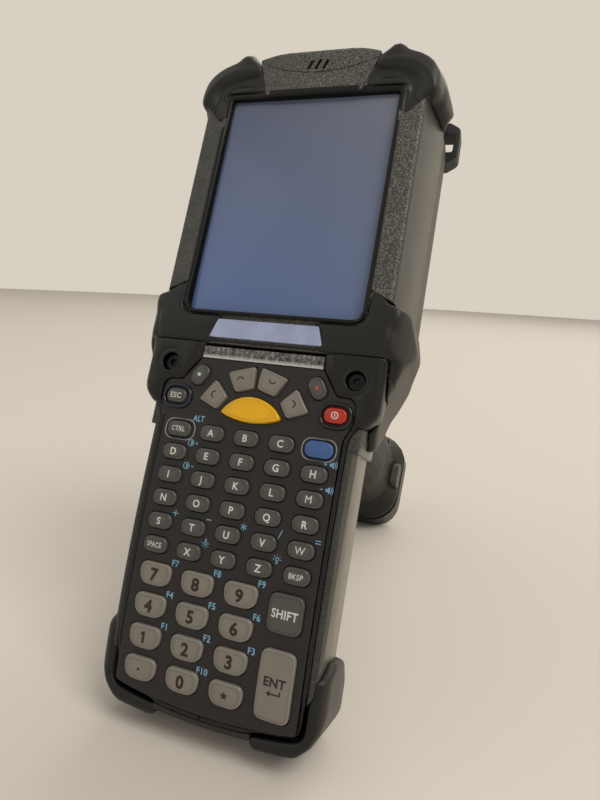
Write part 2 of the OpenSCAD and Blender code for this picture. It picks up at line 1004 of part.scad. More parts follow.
module keypad_frame() {
    color("#1d1d20")
    stand()
    difference() {
        keypad_solid();
        // Seat of the plate, and the space under it for the flanges and the board
        intersection() {
            through(-front_d, 2)
                plate_outline(0.1);
            along_bend(case_low - 4, collar_low)
                symmetric([[case_half + 8, plate_z - plate_t], [case_half + 8, 2]]);
        }
        intersection() {
            through(-front_d, 2)
                plate_outline(-ledge);
            along_bend(case_low - 4, collar_low)
                symmetric([[case_half + 8, frame_floor_z], [case_half + 8, 2]]);
        }
        through(-5, 2)
            translate([0, lens_low - 0.1])
                symmetric([[lens_half + 0.1, 0], [lens_half + 0.1, lens_h + 0.2]]);
        mirror_copy()
            translate([keypad_screw_pos[0], keypad_screw_pos[1], frame_back - over]) {
                cylinder(20, r = screw_r + 0.15);
                translate([0, 0, over + 4.5])
                    cylinder(20, r = 2.9);
            }
    }
}

// Outlines of the keys, drawn round their own centres
module key_shape(kind, g) {
    if (kind == "letter")
        pill(letter_w + 2 * g, letter_h + 2 * g, 2.1 + g);
    if (kind == "number")
        shape([
            [-number_w / 2 + 0.5 - g, -number_h / 2 - g, 3.1 + g],
            [number_w / 2 - 0.5 + g, -number_h / 2 - g, 3.1 + g],
            [number_w / 2 + g, number_h / 2 + g, 2 + g], [-number_w / 2 - g, number_h / 2 + g, 2 + g]
        ]);
    if (kind == "shift")
        pill(side_key_w + 2 * g, shift_h + 2 * g, 2 + g);
    if (kind == "enter")
        pill(side_key_w + 2 * g, enter_h + 2 * g, 1.8 + g);
    if (kind == "blue")
        pill(8.6 + 2 * g, 4.8 + 2 * g, 2.2 + g);
    if (kind == "ear")
        pill(6.8 + 2 * g, 4.4 + 2 * g, 2 + g);
    if (kind == "dot")
        rotate(dot_tilt)
            pill(4.8 + 2 * g, 7 + 2 * g, 2.3 + g);
    if (kind == "near_arrow" || kind == "far_arrow") {
        from = kind == "near_arrow" ? near_from : far_from;
        to = kind == "near_arrow" ? near_to : far_to;
        shape([
            (fan_in - g) * [sin(from), cos(from)] + g * [-cos(from), sin(from)],
            (fan_in - g) * [sin(to), cos(to)] + g * [cos(to), -sin(to)],
            (fan_out + g) * [sin(to), cos(to)] + g * [cos(to), -sin(to)],
            (fan_out + g) * [sin(from), cos(from)] + g * [-cos(from), sin(from)]
        ]);
    }
    if (kind == "scan")
        intersection() {
            translate([0, scan_top - fan_y - 11.5])
                circle(11.5 + g);
            translate([0, scan_low - fan_y + 24])
                circle(24 + g, $fn = 96);
        }
}

// Where a key's crown is highest
function key_middle(kind) =
    kind == "near_arrow" ? 16 * [sin(near_from / 2 + near_to / 2), cos(near_from / 2 + near_to / 2)]
    : kind == "far_arrow" ? 16 * [sin(far_from / 2 + far_to / 2), cos(far_from / 2 + far_to / 2)]
    : kind == "scan" ? [0, 5.5]
    : [0, 0];

// A key: its cap through the plate and the flange that keeps it in
module key(kind, crown, top = 0) {
    intersection() {
        translate([0, 0, flange_z - flange_t])
            linear_extrude(8)
                key_shape(kind, 0);
        translate(concat(key_middle(kind), top - crown))
            sphere(crown, $fn = 120);
    }
    translate([0, 0, flange_z - flange_t])
        linear_extrude(flange_t)
            key_shape(kind, flange_reach);
}

function letter_pos(row, col) = [(col - 2) * letter_pitch_x, (2.5 - row) * letter_pitch_y];
function number_pos(row, col) = [number_x + col * number_pitch_x, number_y - row * number_pitch_y];
control_pos = letter_pos(0, 0);
blue_pos = [2 * letter_pitch_x + 0.15, letter_top];

// Every hole in the plate
module key_holes() {
    for (row = [0 : 5], col = [row == 0 ? 1 : 0 : row == 0 ? 3 : 4])
        on_face(letter_pos(row, col))
            key_cut("letter");
    for (row = [0 : 3], col = [0 : 2])
        on_face(number_pos(row, col))
            key_cut("number");
    on_face(control_pos)
        key_cut("letter");
    on_face(blue_pos)
        key_cut("blue");
    on_face([side_key_x, shift_y])
        key_cut("shift");
    on_face([side_key_x, enter_y])
        key_cut("enter");
    mirror_copy() {
        on_face(ear_pos)
            key_cut("ear");
        on_face(dot_pos)
            key_cut("dot");
        on_face([0, fan_y]) {
            key_cut("near_arrow");
            key_cut("far_arrow");
        }
    }
    on_face([0, fan_y])
        key_cut("scan");
}

module key_cut(kind) {
    translate([0, 0, -6])
        linear_extrude(9)
            key_shape(kind, key_gap);
}

module keypad_plate() {
    color("#28232e")
    stand()
    difference() {
        intersection() {
            through(-front_d, 2)
                plate_outline(0);
            along_bend(case_low - 4, collar_low)
                symmetric([[case_half + 8, plate_z - plate_t], [case_half + 8, plate_z]]);
        }
        key_holes();
    }
}

module keypad_board() {
    color("#2f6a45")
    stand()
    intersection() {
        through(-front_d, 2)
            plate_outline(-ledge - 0.2);
        along_bend(case_low - 4, collar_low)
            symmetric([[case_half + 8, board_z - board_t], [case_half + 8, board_z]]);
    }
}

module indicator_lens() {
    rib = 0.85;
    ribs = floor(2 * lens_half / rib);
    color("#c9cdd2")
    stand()
    difference() {
        translate([0, lens_low, -4])
            linear_extrude(3)
                symmetric([[lens_half, 0], [lens_half, lens_h]]);
        for (i = [1 : ribs - 1])
            translate([-ribs * rib / 2 + i * rib, lens_low - over, -0.75])
                rotate([-90, 0, 0])
                    rotate(45)
                        linear_extrude(over + 1.9)
                            square(0.5, center = true);
    }
}

module led_board() {
    color("#2f6a45")
        stand()
            translate([0, lens_low + 0.1, -4.95])
                linear_extrude(0.9)
                    symmetric([[lens_half - 0.1, 0], [lens_half - 0.1, lens_h - 0.2]]);
}

module single_key(pos, kind, crown, top = 0) {
    stand()
        on_face(pos)
            key(kind, crown, top);
}

module letter_row(row) {
    color("#55544f")
        for (col = [row == 0 ? 1 : 0 : row == 0 ? 3 : 4])
            single_key(letter_pos(row, col), "letter", 14);
}

module number_row(row) {
    color("#8f8780")
        for (col = [0 : 2])
            single_key(number_pos(row, col), "number", 24);
}

module scan_key() {
    color("#e0a022")
        single_key([0, fan_y], "scan", 60, 0.6);
}

module power_key() {
    color("#b8342e")
        single_key(ear_pos, "ear", 14);
}

module escape_key() {
    color("#55544f")
        single_key([-ear_pos[0], ear_pos[1]], "ear", 14);
}

module red_dot_key() {
    color("#55544f")
        single_key(dot_pos, "dot", 14);
}

module green_dot_key() {
    color("#55544f")
        stand()
            mirror([1, 0, 0])
                on_face(dot_pos)
                    key("dot", 14);
}

module down_key() {
    color("#8f8780")
        single_key([0, fan_y], "near_arrow", 40);
}

module right_key() {
    color("#8f8780")
        single_key([0, fan_y], "far_arrow", 40);
}

module up_key() {
    color("#8f8780")
        stand()
            mirror([1, 0, 0])
                on_face([0, fan_y])
                    key("near_arrow", 40);
}

module left_key() {
    color("#8f8780")
        stand()
            mirror([1, 0, 0])
                on_face([0, fan_y])
                    key("far_arrow", 40);
}

module control_key() {
    color("#55544f")
        single_key(control_pos, "letter", 14);
}

module blue_key() {
    color("#2f5fae")
        single_key(blue_pos, "blue", 14);
}

module shift_key() {
    color("#55544f")
        single_key([side_key_x, shift_y], "shift", 60);
}

module enter_key() {
    color("#8f8780")
        single_key([side_key_x, enter_y], "enter", 100);
}

// ---- Fasteners, contacts and loop ----
module screw(length, head_r) {
    cylinder(length, r = screw_r);
    difference() {
        translate([0, 0, length])
            cylinder(1.8, r = head_r);
        translate([0, 0, length + 0.8])
            cylinder(2, r = 1.2, $fn = 6);
    }
}

module keypad_screws() {
    color("#3a3a3c")
        stand()
            mirror_copy()
                translate([keypad_screw_pos[0], keypad_screw_pos[1], frame_back - 5])
                    screw(9.5, 2.5);
}

module housing_screws() {
    color("#3a3a3c")
        stand()
            for (p = screw_spots)
                translate([p[0], p[1], -front_d + 9])
                    rotate([180, 0, 0])
                        screw(spot_back(p) - 2 - front_d + 9, screw_head_r);
}

io_h = 7;
io_z = frame_back - bend_drop(case_low) - io_h / 2 - 0.3; // it lies under the keypad module's end

module io_block(g) {
    translate([0, case_low + 3.4, io_z])
        cube([24 + 2 * g, 9 + 2 * g, io_h + 2 * g], center = true);
}

module io_connector() {
    color("#26262a")
    stand()
    difference() {
        translate([0, case_low + 4, io_z])
            cube([24, 7, io_h], center = true);
        for (i = [-4 : 4])
            translate([i * 2.4, case_low, io_z])
                cube([1.2, 2.4, 4], center = true);
    }
}

loop_y = strip_top + 12;

module tether_loop() {
    color("#1b1c1e")
        stand()
            difference() {
                through(-front_d - 16, -front_d - 10)
                    translate([head_half, loop_y])
                        difference() {
                            shape([[-6, -8], [0, -8], [3.8, -5.5, 2.5], [3.8, 5.5, 2.5], [0, 8], [-6, 8]]);
                            shape([[-7, -3.5], [1.8, -3.5, 0.8], [1.8, 3.5, 0.8], [-7, 3.5]]);
                        }
                head_block(0, 0);
            }
}

// ---- Scanner ----
module scan_window() {
    color("#3b1216")
        stand()
            translate([0, nose_top - 0.7, window_z])
                rotate([90, 0, 0])
                    linear_extrude(1.5)
                        window_shape(-0.05);
}

module scan_engine() {
    color("#77787c")
    stand()
    translate([0, nose_top - wall - 2.4, 0]) {
        translate([-17, -18, -nose_d + wall + 1.1])
            cube([34, 18, 20]);
        translate([-8, 0, window_z - 4])
            cube([16, 1.2, 8]);
    }
}

// ---- Grip ----
// Stations down the grip, as [z, y of the middle, depth, width]
grip_stations = [
    [14, 5, grip_d + 16, grip_w + 5],
    [-14, 1, grip_d + 3, grip_w + 1],
    [-60, 0, grip_d, grip_w],
    [flare_z, 0, grip_d + 2, grip_w + 1],
    [shell_end + 4, 0, foot_d - 1, foot_w - 1]
];

module grip_slice(s) {
    translate([0, s[1], s[0]])
        linear_extrude(0.01)
            pill(s[3], s[2], 15);
}

module grip_body() {
    for (i = [0 : len(grip_stations) - 2])
        hull() {
            grip_slice(grip_stations[i]);
            grip_slice(grip_stations[i + 1]);
        }
    translate([0, 0, shell_end])
        linear_extrude(4.01)
            pill(foot_w - 1, foot_d - 1, 15);
}

// What lies below the pedestal's flat end
module below_pedestal() {
    translate([0, 0, -0.05])
        rotate([grip_rake, 0, 0])
            translate([-100, -100, -250])
                cube([200, 200, 250]);
}

grip_screw_spots = [[-12, -18], [grip_d / 2 - 6.2, -66], [grip_d / 2 - 6.2, flare_z + 6]];

module grip_cuts() {
    // Battery bay, open at the foot
    translate([0, 0, shell_end - over])
        linear_extrude(pack_top - shell_end + over + 3)
            pack_outline(slide_gap);
    // Trigger slot
    across(-trigger_w / 2 - slide_gap, trigger_w / 2 + slide_gap)
        shape([
            [pack_front + 2.2, -51], [grip_d, -51], [grip_d, -3], [pin_pos[0] - 6.5, -3],
            [pin_pos[0] - 6.5, -22],
            [pack_front + 2.2, -27]
        ]);
    for (p = grip_screw_spots)
        translate([0, p[0], p[1]])
            rotate([0, 90, 0])
                cylinder(3 * grip_w, r = screw_r + pin_gap, center = true);
    for (p = grip_screw_spots)
        translate([grip_w / 2 - 3, p[0], p[1]])
            rotate([0, 90, 0])
                cylinder(grip_w, r = 2.7);
    translate([0, pin_pos[0], pin_pos[1]])
        rotate([0, 90, 0])
            cylinder(trigger_w + 10, r = pin_r, center = true);
    mirror_copy()
        release_cut();
}

module release_cut() {
    translate([0, 0, release_z])
        rotate([0, 90, 0]) {
            linear_extrude(foot_w)
                pill(8 + 2 * slide_gap, 13 + 2 * slide_gap, 3);
            linear_extrude(pack_w / 2 + 4.2)
                pill(11, 16, 3);
        }
}

// One half of the grip, on the side where x has the given sign
module grip_half(side) {
    difference() {
        intersection() {
            grip_body();
            below_pedestal();
            translate([side > 0 ? 0 : -100, -100, -250])
                cube([100, 200, 300]);
        }
        grip_cuts();
    }
}

module grip_right() {
    color("#3d3a36")
        stand()
            on_grip()
                grip_half(1);
}

module grip_left() {
    color("#3d3a36")
        stand()
            on_grip()
                grip_half(-1);
}

module grip_screws() {
    color("#3a3a3c")
        stand()
            on_grip()
                for (p = grip_screw_spots)
                    translate([-grip_w / 2 + 4, p[0], p[1]])
                        rotate([0, 90, 0])
                            screw(grip_w - 7, 2.5);
}

// Outline of the trigger in the grip's (y, z) plane
module trigger_profile() {
    front = grip_d / 2 + 8;
    shape([
        [pin_pos[0] - 4, -5, 3], [front - 6, -6, 4], [front - 1, -16, 8], [front - 1.5, -30, 14],
        [front + 2, -trigger_end, 2], [front - 3, -trigger_end - 3.5, 2], [trigger_back, -trigger_end, 3],
        [pin_pos[0] + 2, -22, 6], [pin_pos[0] - 4, -15, 3]
    ]);
}

module trigger() {
    color("#1f1f21")
    stand()
    on_grip()
    difference() {
        across(-trigger_w / 2, trigger_w / 2)
            trigger_profile();
        translate([0, pin_pos[0], pin_pos[1]])
            rotate([0, 90, 0]) {
                cylinder(trigger_w + 2, r = pin_r + pin_gap, center = true);
                cylinder(5, r = 3.3, center = true);
            }
        translate([-2.5, pin_pos[0] - 8, -12.5])
            cube([5, 8, 8]);
    }
}

module trigger_pin() {
    color("#9a9a9c")
        stand()
            on_grip()
                translate([0, pin_pos[0], pin_pos[1]])
                    rotate([0, 90, 0])
                        cylinder(trigger_w + 9.8, r = pin_r, center = true);
}

module trigger_spring() {
    wire_r = 0.4;
    color("#9a9a9c")
        stand()
            on_grip()
                translate([0, pin_pos[0], pin_pos[1]])
                    rotate([0, 90, 0])
                        for (i = [-2 : 2])
                            translate([0, 0, i * 2 * wire_r])
                                rotate_extrude()
                                    translate([2.3, 0])
                                        circle(wire_r, $fn = 16);
}

switch_t = 1.6;

module trigger_switch() {
    color("#26262a")
        stand()
            on_grip()
                translate([-4, pack_front + 2.3, -34]) {
                    cube([8, switch_t, 8]);
                    translate([2.5, switch_t, 2.5])
                        cube([3, 0.6, 3]);
                }
}

// The battery follows the round back of the grip
module pack_outline(g) {
    shape([
        [-pack_w / 2 - g, pack_back - g, 12 + g], [pack_w / 2 + g, pack_back - g, 12 + g],
        [pack_w / 2 + g, pack_front + g, 2.5], [-pack_w / 2 - g, pack_front + g, 2.5]
    ]);
}

module battery_contacts() {
    color("#b08d3c")
        stand()
            on_grip()
                translate([0, 0, pack_top + 0.1])
                    linear_extrude(2.8)
                        pack_outline(-1);
}

module battery_pack() {
    color("#2c2e33")
        stand()
            on_grip()
                translate([0, 0, shell_end - 0.3])
                    linear_extrude(pack_top - shell_end + 0.3)
                        pack_outline(0);
}

module battery_cap() {
    color("#1b1c1e")
    stand()
    on_grip()
    intersection() {
        translate([0, 0, -grip_len])
            linear_extrude(cap_t - 0.3)
                pill(foot_w, foot_d, 15);
        across(-foot_w, foot_w)
            shape([
                [-foot_d / 2, shell_end, 1], [-foot_d / 2, -grip_len, foot_edge_r],
                [foot_d / 2, -grip_len, foot_edge_r], [foot_d / 2, shell_end, 1]
            ]);
        rotate([0, 0, 90])
            across(-foot_d, foot_d)
                shape([
                    [-foot_w / 2, shell_end, 1], [-foot_w / 2, -grip_len, foot_edge_r],
                    [foot_w / 2, -grip_len, foot_edge_r], [foot_w / 2, shell_end, 1]
                ]);
    }
}

module release() {
    translate([0, 0, release_z])
        rotate([0, 90, 0]) {
            translate([0, 0, pack_w / 2 + 1.8])
                linear_extrude(2.2)
                    pill(10, 15, 2.8);
            translate([0, 0, pack_w / 2 + 3])
                linear_extrude(4.6)
                    pill(8, 13, 2.8);
        }
}

module release_left() {
    color("#5b5a56")
        stand()
            on_grip()
                mirror([1, 0, 0])
                    release();
}

module release_right() {
    color("#5b5a56")
        stand()
            on_grip()
                release();
}

front_housing();
rear_housing();
bumper_left();
bumper_right();
collar();
boot_left();
boot_right();
display_gasket();
touch_panel();
lcd_module();
nameplate();
speaker();
main_board();
backup_battery();
keypad_frame();
keypad_plate();
keypad_board();
indicator_lens();
led_board();
keypad_screws();
housing_screws();
io_connector();
tether_loop();
scan_window();
scan_engine();
grip_left();
grip_right();
grip_screws();
trigger();
trigger_pin();
trigger_spring();
trigger_switch();
battery_contacts();
battery_pack();
battery_cap();
release_left();
release_right();
scan_key();
power_key();
escape_key();
green_dot_key();
red_dot_key();
up_key();
down_key();
left_key();
right_key();
control_key();
blue_key();
shift_key();
enter_key();
for (i = [0 : 5])
    letter_row(i);
for (i = [0 : 3])
    number_row(i);
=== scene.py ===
"""Looks of the portable data terminal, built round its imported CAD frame."""

import json
import math

import bmesh
import bpy
import numpy as np
from mathutils import Matrix, Vector
from mathutils.bvhtree import BVHTree


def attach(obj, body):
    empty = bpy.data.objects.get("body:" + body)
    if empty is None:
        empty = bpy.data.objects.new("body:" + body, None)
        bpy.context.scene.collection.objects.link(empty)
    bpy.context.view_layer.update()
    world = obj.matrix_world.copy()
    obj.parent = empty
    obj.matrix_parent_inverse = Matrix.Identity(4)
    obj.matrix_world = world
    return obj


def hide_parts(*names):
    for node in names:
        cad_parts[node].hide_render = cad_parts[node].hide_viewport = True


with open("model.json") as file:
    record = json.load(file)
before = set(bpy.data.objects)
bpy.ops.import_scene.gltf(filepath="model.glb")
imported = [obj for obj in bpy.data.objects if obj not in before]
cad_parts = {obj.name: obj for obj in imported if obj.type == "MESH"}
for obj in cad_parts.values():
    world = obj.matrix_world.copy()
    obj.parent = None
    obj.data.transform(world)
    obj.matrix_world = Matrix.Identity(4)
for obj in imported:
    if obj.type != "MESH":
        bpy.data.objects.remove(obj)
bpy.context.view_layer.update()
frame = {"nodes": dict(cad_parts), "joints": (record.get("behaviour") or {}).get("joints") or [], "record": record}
joints = {j["name"]: j for j in frame["joints"]}
nodes = frame["nodes"]
MM = 0.001
MM_PER_METRE = 1000


# ---------------------------------------------------------------- device axes
# Details are drawn in the device's own axes, in millimetres: x to the right, y up the face and
# z out of it, with y = 0 in the middle of the letter keys and z = 0 at their tops.
def turned_box(node, turn):
    """Lowest and highest corner of a node along turned axes, in millimetres."""
    points = np.array([v.co for v in nodes[node].data.vertices]) @ turn / MM
    return points.min(0), points.max(0)


def turn_of(joint):
    """Axes of a face that this joint presses into, as columns: x, up the face, out of it."""
    into = joints[joint]["axis"]
    return np.array([(1, 0, 0), (0, -into[2], into[1]), (0, -into[1], -into[2])]).T


def device_matrix():
    turn = turn_of("scan_key_press")
    first, second = turned_box("keys_abc", turn), turned_box("keys_defgh", turn)
    pitch = first[0][1] - second[0][1]
    middle = (first[0][1] + first[1][1]) / 2 - 2.5 * pitch
    origin = turn @ np.array([0, middle, first[1][2]]) * MM
    return turn, origin


TURN, ORIGIN = device_matrix()
TO_FRAME = Matrix.Translation(Vector(ORIGIN)) @ Matrix(TURN.tolist()).to_4x4() @ Matrix.Scale(MM, 4)


# Where the front is looked at from, in the frame and in the device's axes
LOOK_FROM = (0.07005, -0.23106, 0.13412)
EYE = TO_FRAME.inverted() @ Vector(LOOK_FROM)


def device_box(node):
    low, high = turned_box(node, TURN)
    shift = TURN.T @ ORIGIN / MM
    return low - shift, high - shift


def to_frame(points):
    return points @ TURN.T * MM + ORIGIN


# ---------------------------------------------------------------- materials
def srgb(r, g, b):
    """Linear colour of an sRGB colour given from 0 to 255."""
    def linear(c):
        c /= 255
        return c / 12.92 if c <= 0.04045 else ((c + 0.055) / 1.055) ** 2.4
    return linear(r), linear(g), linear(b), 1


MOST_NOISE = 0.3, 0.7               # most values of a noise lie between these


class Material:
    """A node material with a Principled shader, and short calls that wire noise into it."""

    def __init__(self, name, colour, rough=0.5, **sockets):
        self.name, self.colour, self.rough = name, colour, rough
        self.mat = bpy.data.materials.new(name)
        self.mat.use_nodes = True
        self.mat.diffuse_color = colour
        self.tree = self.mat.node_tree
        self.shader = self.tree.nodes["Principled BSDF"]
        for key, value in {"Base_Color": colour, "Roughness": rough, **sockets}.items():
            self.shader.inputs[key.replace("_", " ")].default_value = value
        coordinates = self.tree.nodes.new("ShaderNodeTexCoord")
        self.position, self.normal = coordinates.outputs["Object"], coordinates.outputs["Normal"]

    def node(self, kind, **values):
        made = self.tree.nodes.new(kind)
        for key, value in values.items():
            if hasattr(made, key):
                setattr(made, key, value)
            else:
                made.inputs[key.replace("_", " ")].default_value = value
        return made

    def link(self, a, b):
        self.tree.links.new(a, b)

    def drive(self, **sockets):
        """Links values to the shader's own sockets."""
        for key, value in sockets.items():
            self.link(value, self.shader.inputs[key.replace("_", " ")])

    def noise(self, size_mm, detail=2.0, roughness=0.5):
        scale = MM_PER_METRE / size_mm
        made = self.node("ShaderNodeTexNoise", Scale=scale, Detail=detail, Roughness=roughness)
        self.link(self.position, made.inputs["Vector"])
        return made.outputs["Fac"]

    def attribute(self, name):
        return self.node("ShaderNodeAttribute", attribute_name=name).outputs["Fac"]

    def ramp(self, value, low, high, out_low=0.0, out_high=1.0, clamp=True):
        made = self.node("ShaderNodeMapRange", clamp=clamp)
        for key, number in (("From Min", low), ("From Max", high), ("To Min", out_low), ("To Max", out_high)):
            made.inputs[key].default_value = number
        self.link(value, made.inputs["Value"])
        return made.outputs["Result"]

    def mix(self, factor, a, b, kind="RGBA"):
        """Blends colours or sockets, or two values if the kind is FLOAT."""
        made = self.node("ShaderNodeMix", data_type=kind)
        self.link(factor, made.inputs["Factor"])
        first, result = {"FLOAT": (2, 0), "RGBA": (6, 2)}[kind]
        for socket, value in ((made.inputs[first], a), (made.inputs[first + 1], b)):
            if isinstance(value, tuple):
                socket.default_value = value
            else:
                self.link(value, socket)
        return made.outputs[result]

    def times(self, first, *others):
        for other in others:
            made = self.node("ShaderNodeMath", operation="MULTIPLY")
            self.link(first, made.inputs[0])
            self.link(other, made.inputs[1])
            first = made.outputs["Value"]
        return first

    def dot(self, vector, direction):
        made = self.node("ShaderNodeVectorMath", operation="DOT_PRODUCT")
        self.link(vector, made.inputs[0])
        made.inputs[1].default_value = Vector(direction)
        return made.outputs["Value"]

    def place(self, axis):
        """Position along one of the device's axes, in millimetres."""
        along = self.dot(self.position, TURN[:, axis])
        start = float(TURN[:, axis] @ ORIGIN)
        return self.ramp(along, start - 1, start + 1, -MM_PER_METRE, MM_PER_METRE, clamp=False)

    def bump(self, height, depth_mm):
        made = self.node("ShaderNodeBump", Strength=1.0, Distance=depth_mm * MM)
        self.link(height, made.inputs["Height"])
        previous = self.shader.inputs["Normal"].links
        if previous:
            self.link(previous[0].from_socket, made.inputs["Normal"])
        self.drive(Normal=made.outputs["Normal"])

    def vary(self, size_mm, low=0.9, high=1.1, rough_by=0.05):
        """Slow changes of colour and roughness over the surface."""
        value = self.noise(size_mm, 3.0)
        dark, light = (shaded(self.colour, by) for by in (low, high))
        self.drive(Base_Color=self.mix(self.ramp(value, *MOST_NOISE), dark, light),
                   Roughness=self.ramp(value, *MOST_NOISE, self.rough - rough_by, self.rough + rough_by))
        return self

    def rounded(self, radius_mm):
        """Edges that catch the light as if they had this radius."""
        made = self.node("ShaderNodeBevel", samples=4)
        made.inputs["Radius"].default_value = radius_mm * MM
        self.drive(Normal=made.outputs["Normal"])
        return self

    def grain(self, size_mm, depth_mm):
        self.bump(self.noise(size_mm), depth_mm)
        return self


def shaded(colour, by):
    return tuple(min(1.0, c * by) for c in colour[:3]) + (1,)


PAINT_GRAIN_MM = 0.52
HEAD_FROM = 44.0, 46.0              # up the face, where the case passes into the head
RIM_UP_TO = 1.5, 3.5                # the plain rim below the keys, from the end of their frame


def textured_paint():
    """Dark paint: a fine leathery grain on the front faces, smooth down the sides. A painted sheen makes the sides
    paler, and painted shade fades the pale speckle towards the left.
    """
    made = Material("textured_paint", srgb(62, 63, 59), 0.5).rounded(0.5)
    x, y, z = (made.place(axis) for axis in range(3))
    grains, slow = made.noise(PAINT_GRAIN_MM, 2.0, 0.6), made.noise(7, 2)
    front = made.ramp(made.dot(made.normal, TURN[:, 2]), 0.62, 0.72)
    painted_sheen_depth = made.ramp(z, -5.0, -17.0)
    end = device_box("keypad_frame")[0][1]
    above_rim = made.ramp(y, *(end + gap for gap in RIM_UP_TO))
    head = made.ramp(y, *HEAD_FROM, 0.25, 1.0)
    # painted shade: the grain's pale speckle fades out towards the left side, which lies in shade
    painted_left_shade = made.ramp(x, -34.0, 0.0, 0.22, 1.0)

    case_ground = made.mix(above_rim, srgb(9, 9, 11), srgb(28, 29, 27))
    head_ground = made.mix(made.ramp(slow, 0.35, 0.65), srgb(48, 50, 48), srgb(60, 60, 57))
    ground = made.mix(head, case_ground, head_ground)
    speckle = made.times(made.ramp(grains, 0.46, 0.7), head, above_rim, painted_left_shade)
    rough_paint = made.mix(speckle, ground, srgb(132, 131, 122))

    # painted sheen: the sides are paler further back and paler on the case than on the head, as if they reflected
    # the bright room
    case_side = made.mix(painted_sheen_depth, srgb(74, 72, 64), srgb(134, 128, 115))
    head_side = made.mix(painted_sheen_depth, srgb(62, 60, 54), srgb(99, 95, 86))
    side = made.mix(made.ramp(y, *HEAD_FROM), case_side, head_side)
    side_rough = made.ramp(slow, *MOST_NOISE, 0.3, 0.36)
    front_rough = made.ramp(grains, 0.35, 0.7, 0.6, 0.34)
    made.drive(Base_Color=made.mix(front, side, rough_paint),
               Roughness=made.mix(front, side_rough, front_rough, "FLOAT"))
    made.bump(made.times(grains, front), 0.14)
    return made


def plain(name, colour, rough, size_mm=9.0, grain_mm=0.3, depth_mm=0.01, edge_mm=0.0, **sockets):
    """One colour that varies slowly, with a fine grain, and with rounded edges if edge_mm is given."""
    made = Material(name, colour, rough, **sockets).vary(size_mm)
    if edge_mm:
        made.rounded(edge_mm)
    return made.grain(grain_mm, depth_mm)


def key_plastic(name, colour, rim=1.12, inner_band=0.8):
    """A clear-topped key: a pale rim that is a painted highlight on its rounded edge, a darker band inside it, and
    an even middle.
    """
    made = Material(name, colour, 0.34)
    inner = made.attribute("from_edge")
    mottle = made.ramp(made.noise(6, 2), *MOST_NOISE)
    middle = made.mix(mottle, shaded(colour, 0.95), shaded(colour, 1.05))
    band = made.mix(made.ramp(inner, 0.75, 1.3), shaded(colour, inner_band), middle)
    # painted highlight: the rim and the sides are paler, standing in for light caught by the rounded edge
    made.drive(Base_Color=made.mix(made.ramp(inner, 0.3, 0.6), shaded(colour, rim), band),
               Roughness=made.ramp(inner, 0.4, 1.0, 0.24, 0.4))
    return made.grain(0.35, 0.006)


LENS_PITCH_MM = 1.6778
WAVE_RADIANS = 20.0                 # the phase that a wave texture gains over a length of 1


def ribbed_lens():
    """Clear ribs over a dark, mottled strip with a pale lower edge."""
    made = Material("clear_lens", srgb(110, 110, 110), 0.1)
    mottle = made.noise(1.3, 3, 0.7)
    scale = MM_PER_METRE / LENS_PITCH_MM * math.tau / WAVE_RADIANS
    stripes = made.node("ShaderNodeTexWave", wave_type="BANDS", bands_direction="X", Scale=scale)
    made.link(made.position, stripes.inputs["Vector"])
    low = device_box("indicator_lens")[0][1]
    edge = made.ramp(made.place(1), low + 0.2, low + 1.3, 1.0, 0.0)
    dark = made.mix(made.ramp(mottle, 0.42, 0.6), srgb(24, 24, 23), srgb(160, 158, 155))
    ribs = made.mix(stripes.outputs["Fac"], dark, srgb(88, 86, 84))
    made.drive(Base_Color=made.mix(edge, ribs, srgb(205, 204, 200)))
    made.bump(mottle, 0.12)
    return made


def moulded_rubber():
    """Dark rubber, with a painted sheen that makes it paler and browner down the right side.

    The form attribute holds the depth of shallow channels, in millimetres.
    """
    made = Material("rubber", srgb(13, 14, 16), 0.4, Specular_IOR_Level=0.4)
    shade = made.mix(made.ramp(made.noise(12, 3), *MOST_NOISE), srgb(12, 13, 15), srgb(14, 15, 17))
    # painted sheen: faces turned to the right are paler and browner, as if they reflected the warm floor
    side = made.ramp(made.dot(made.normal, TURN[:, 0]), 0.45, 0.9)
    made.drive(Base_Color=made.mix(side, shade, srgb(50, 46, 37)))
    made.bump(made.ramp(made.attribute("form"), 0.0, 4.0, 4.0, 0.0), 1.0)
    return made.grain(0.35, 0.012)


def screen_glass():
    """Blue-grey panel with a painted reflection of the room: darker and greyer at the top, lighter to the upper
    right, and bluer and lighter at the bottom.
    """
    made = Material("screen_glass", srgb(88, 104, 140), 0.12)
    low, high = device_box("touch_panel")
    # painted reflection: the gradient across the panel stands in for the room reflected in the glass
    right, up = (made.ramp(made.place(axis), low[axis], high[axis]) for axis in (0, 1))
    upper = made.mix(right, srgb(86, 96, 122), srgb(120, 126, 142))
    lower = made.mix(right, srgb(90, 116, 172), srgb(100, 120, 164))
    made.drive(Base_Color=made.mix(up, lower, upper),
               Roughness=made.ramp(made.noise(40, 2), *MOST_NOISE, 0.1, 0.15))
    return made


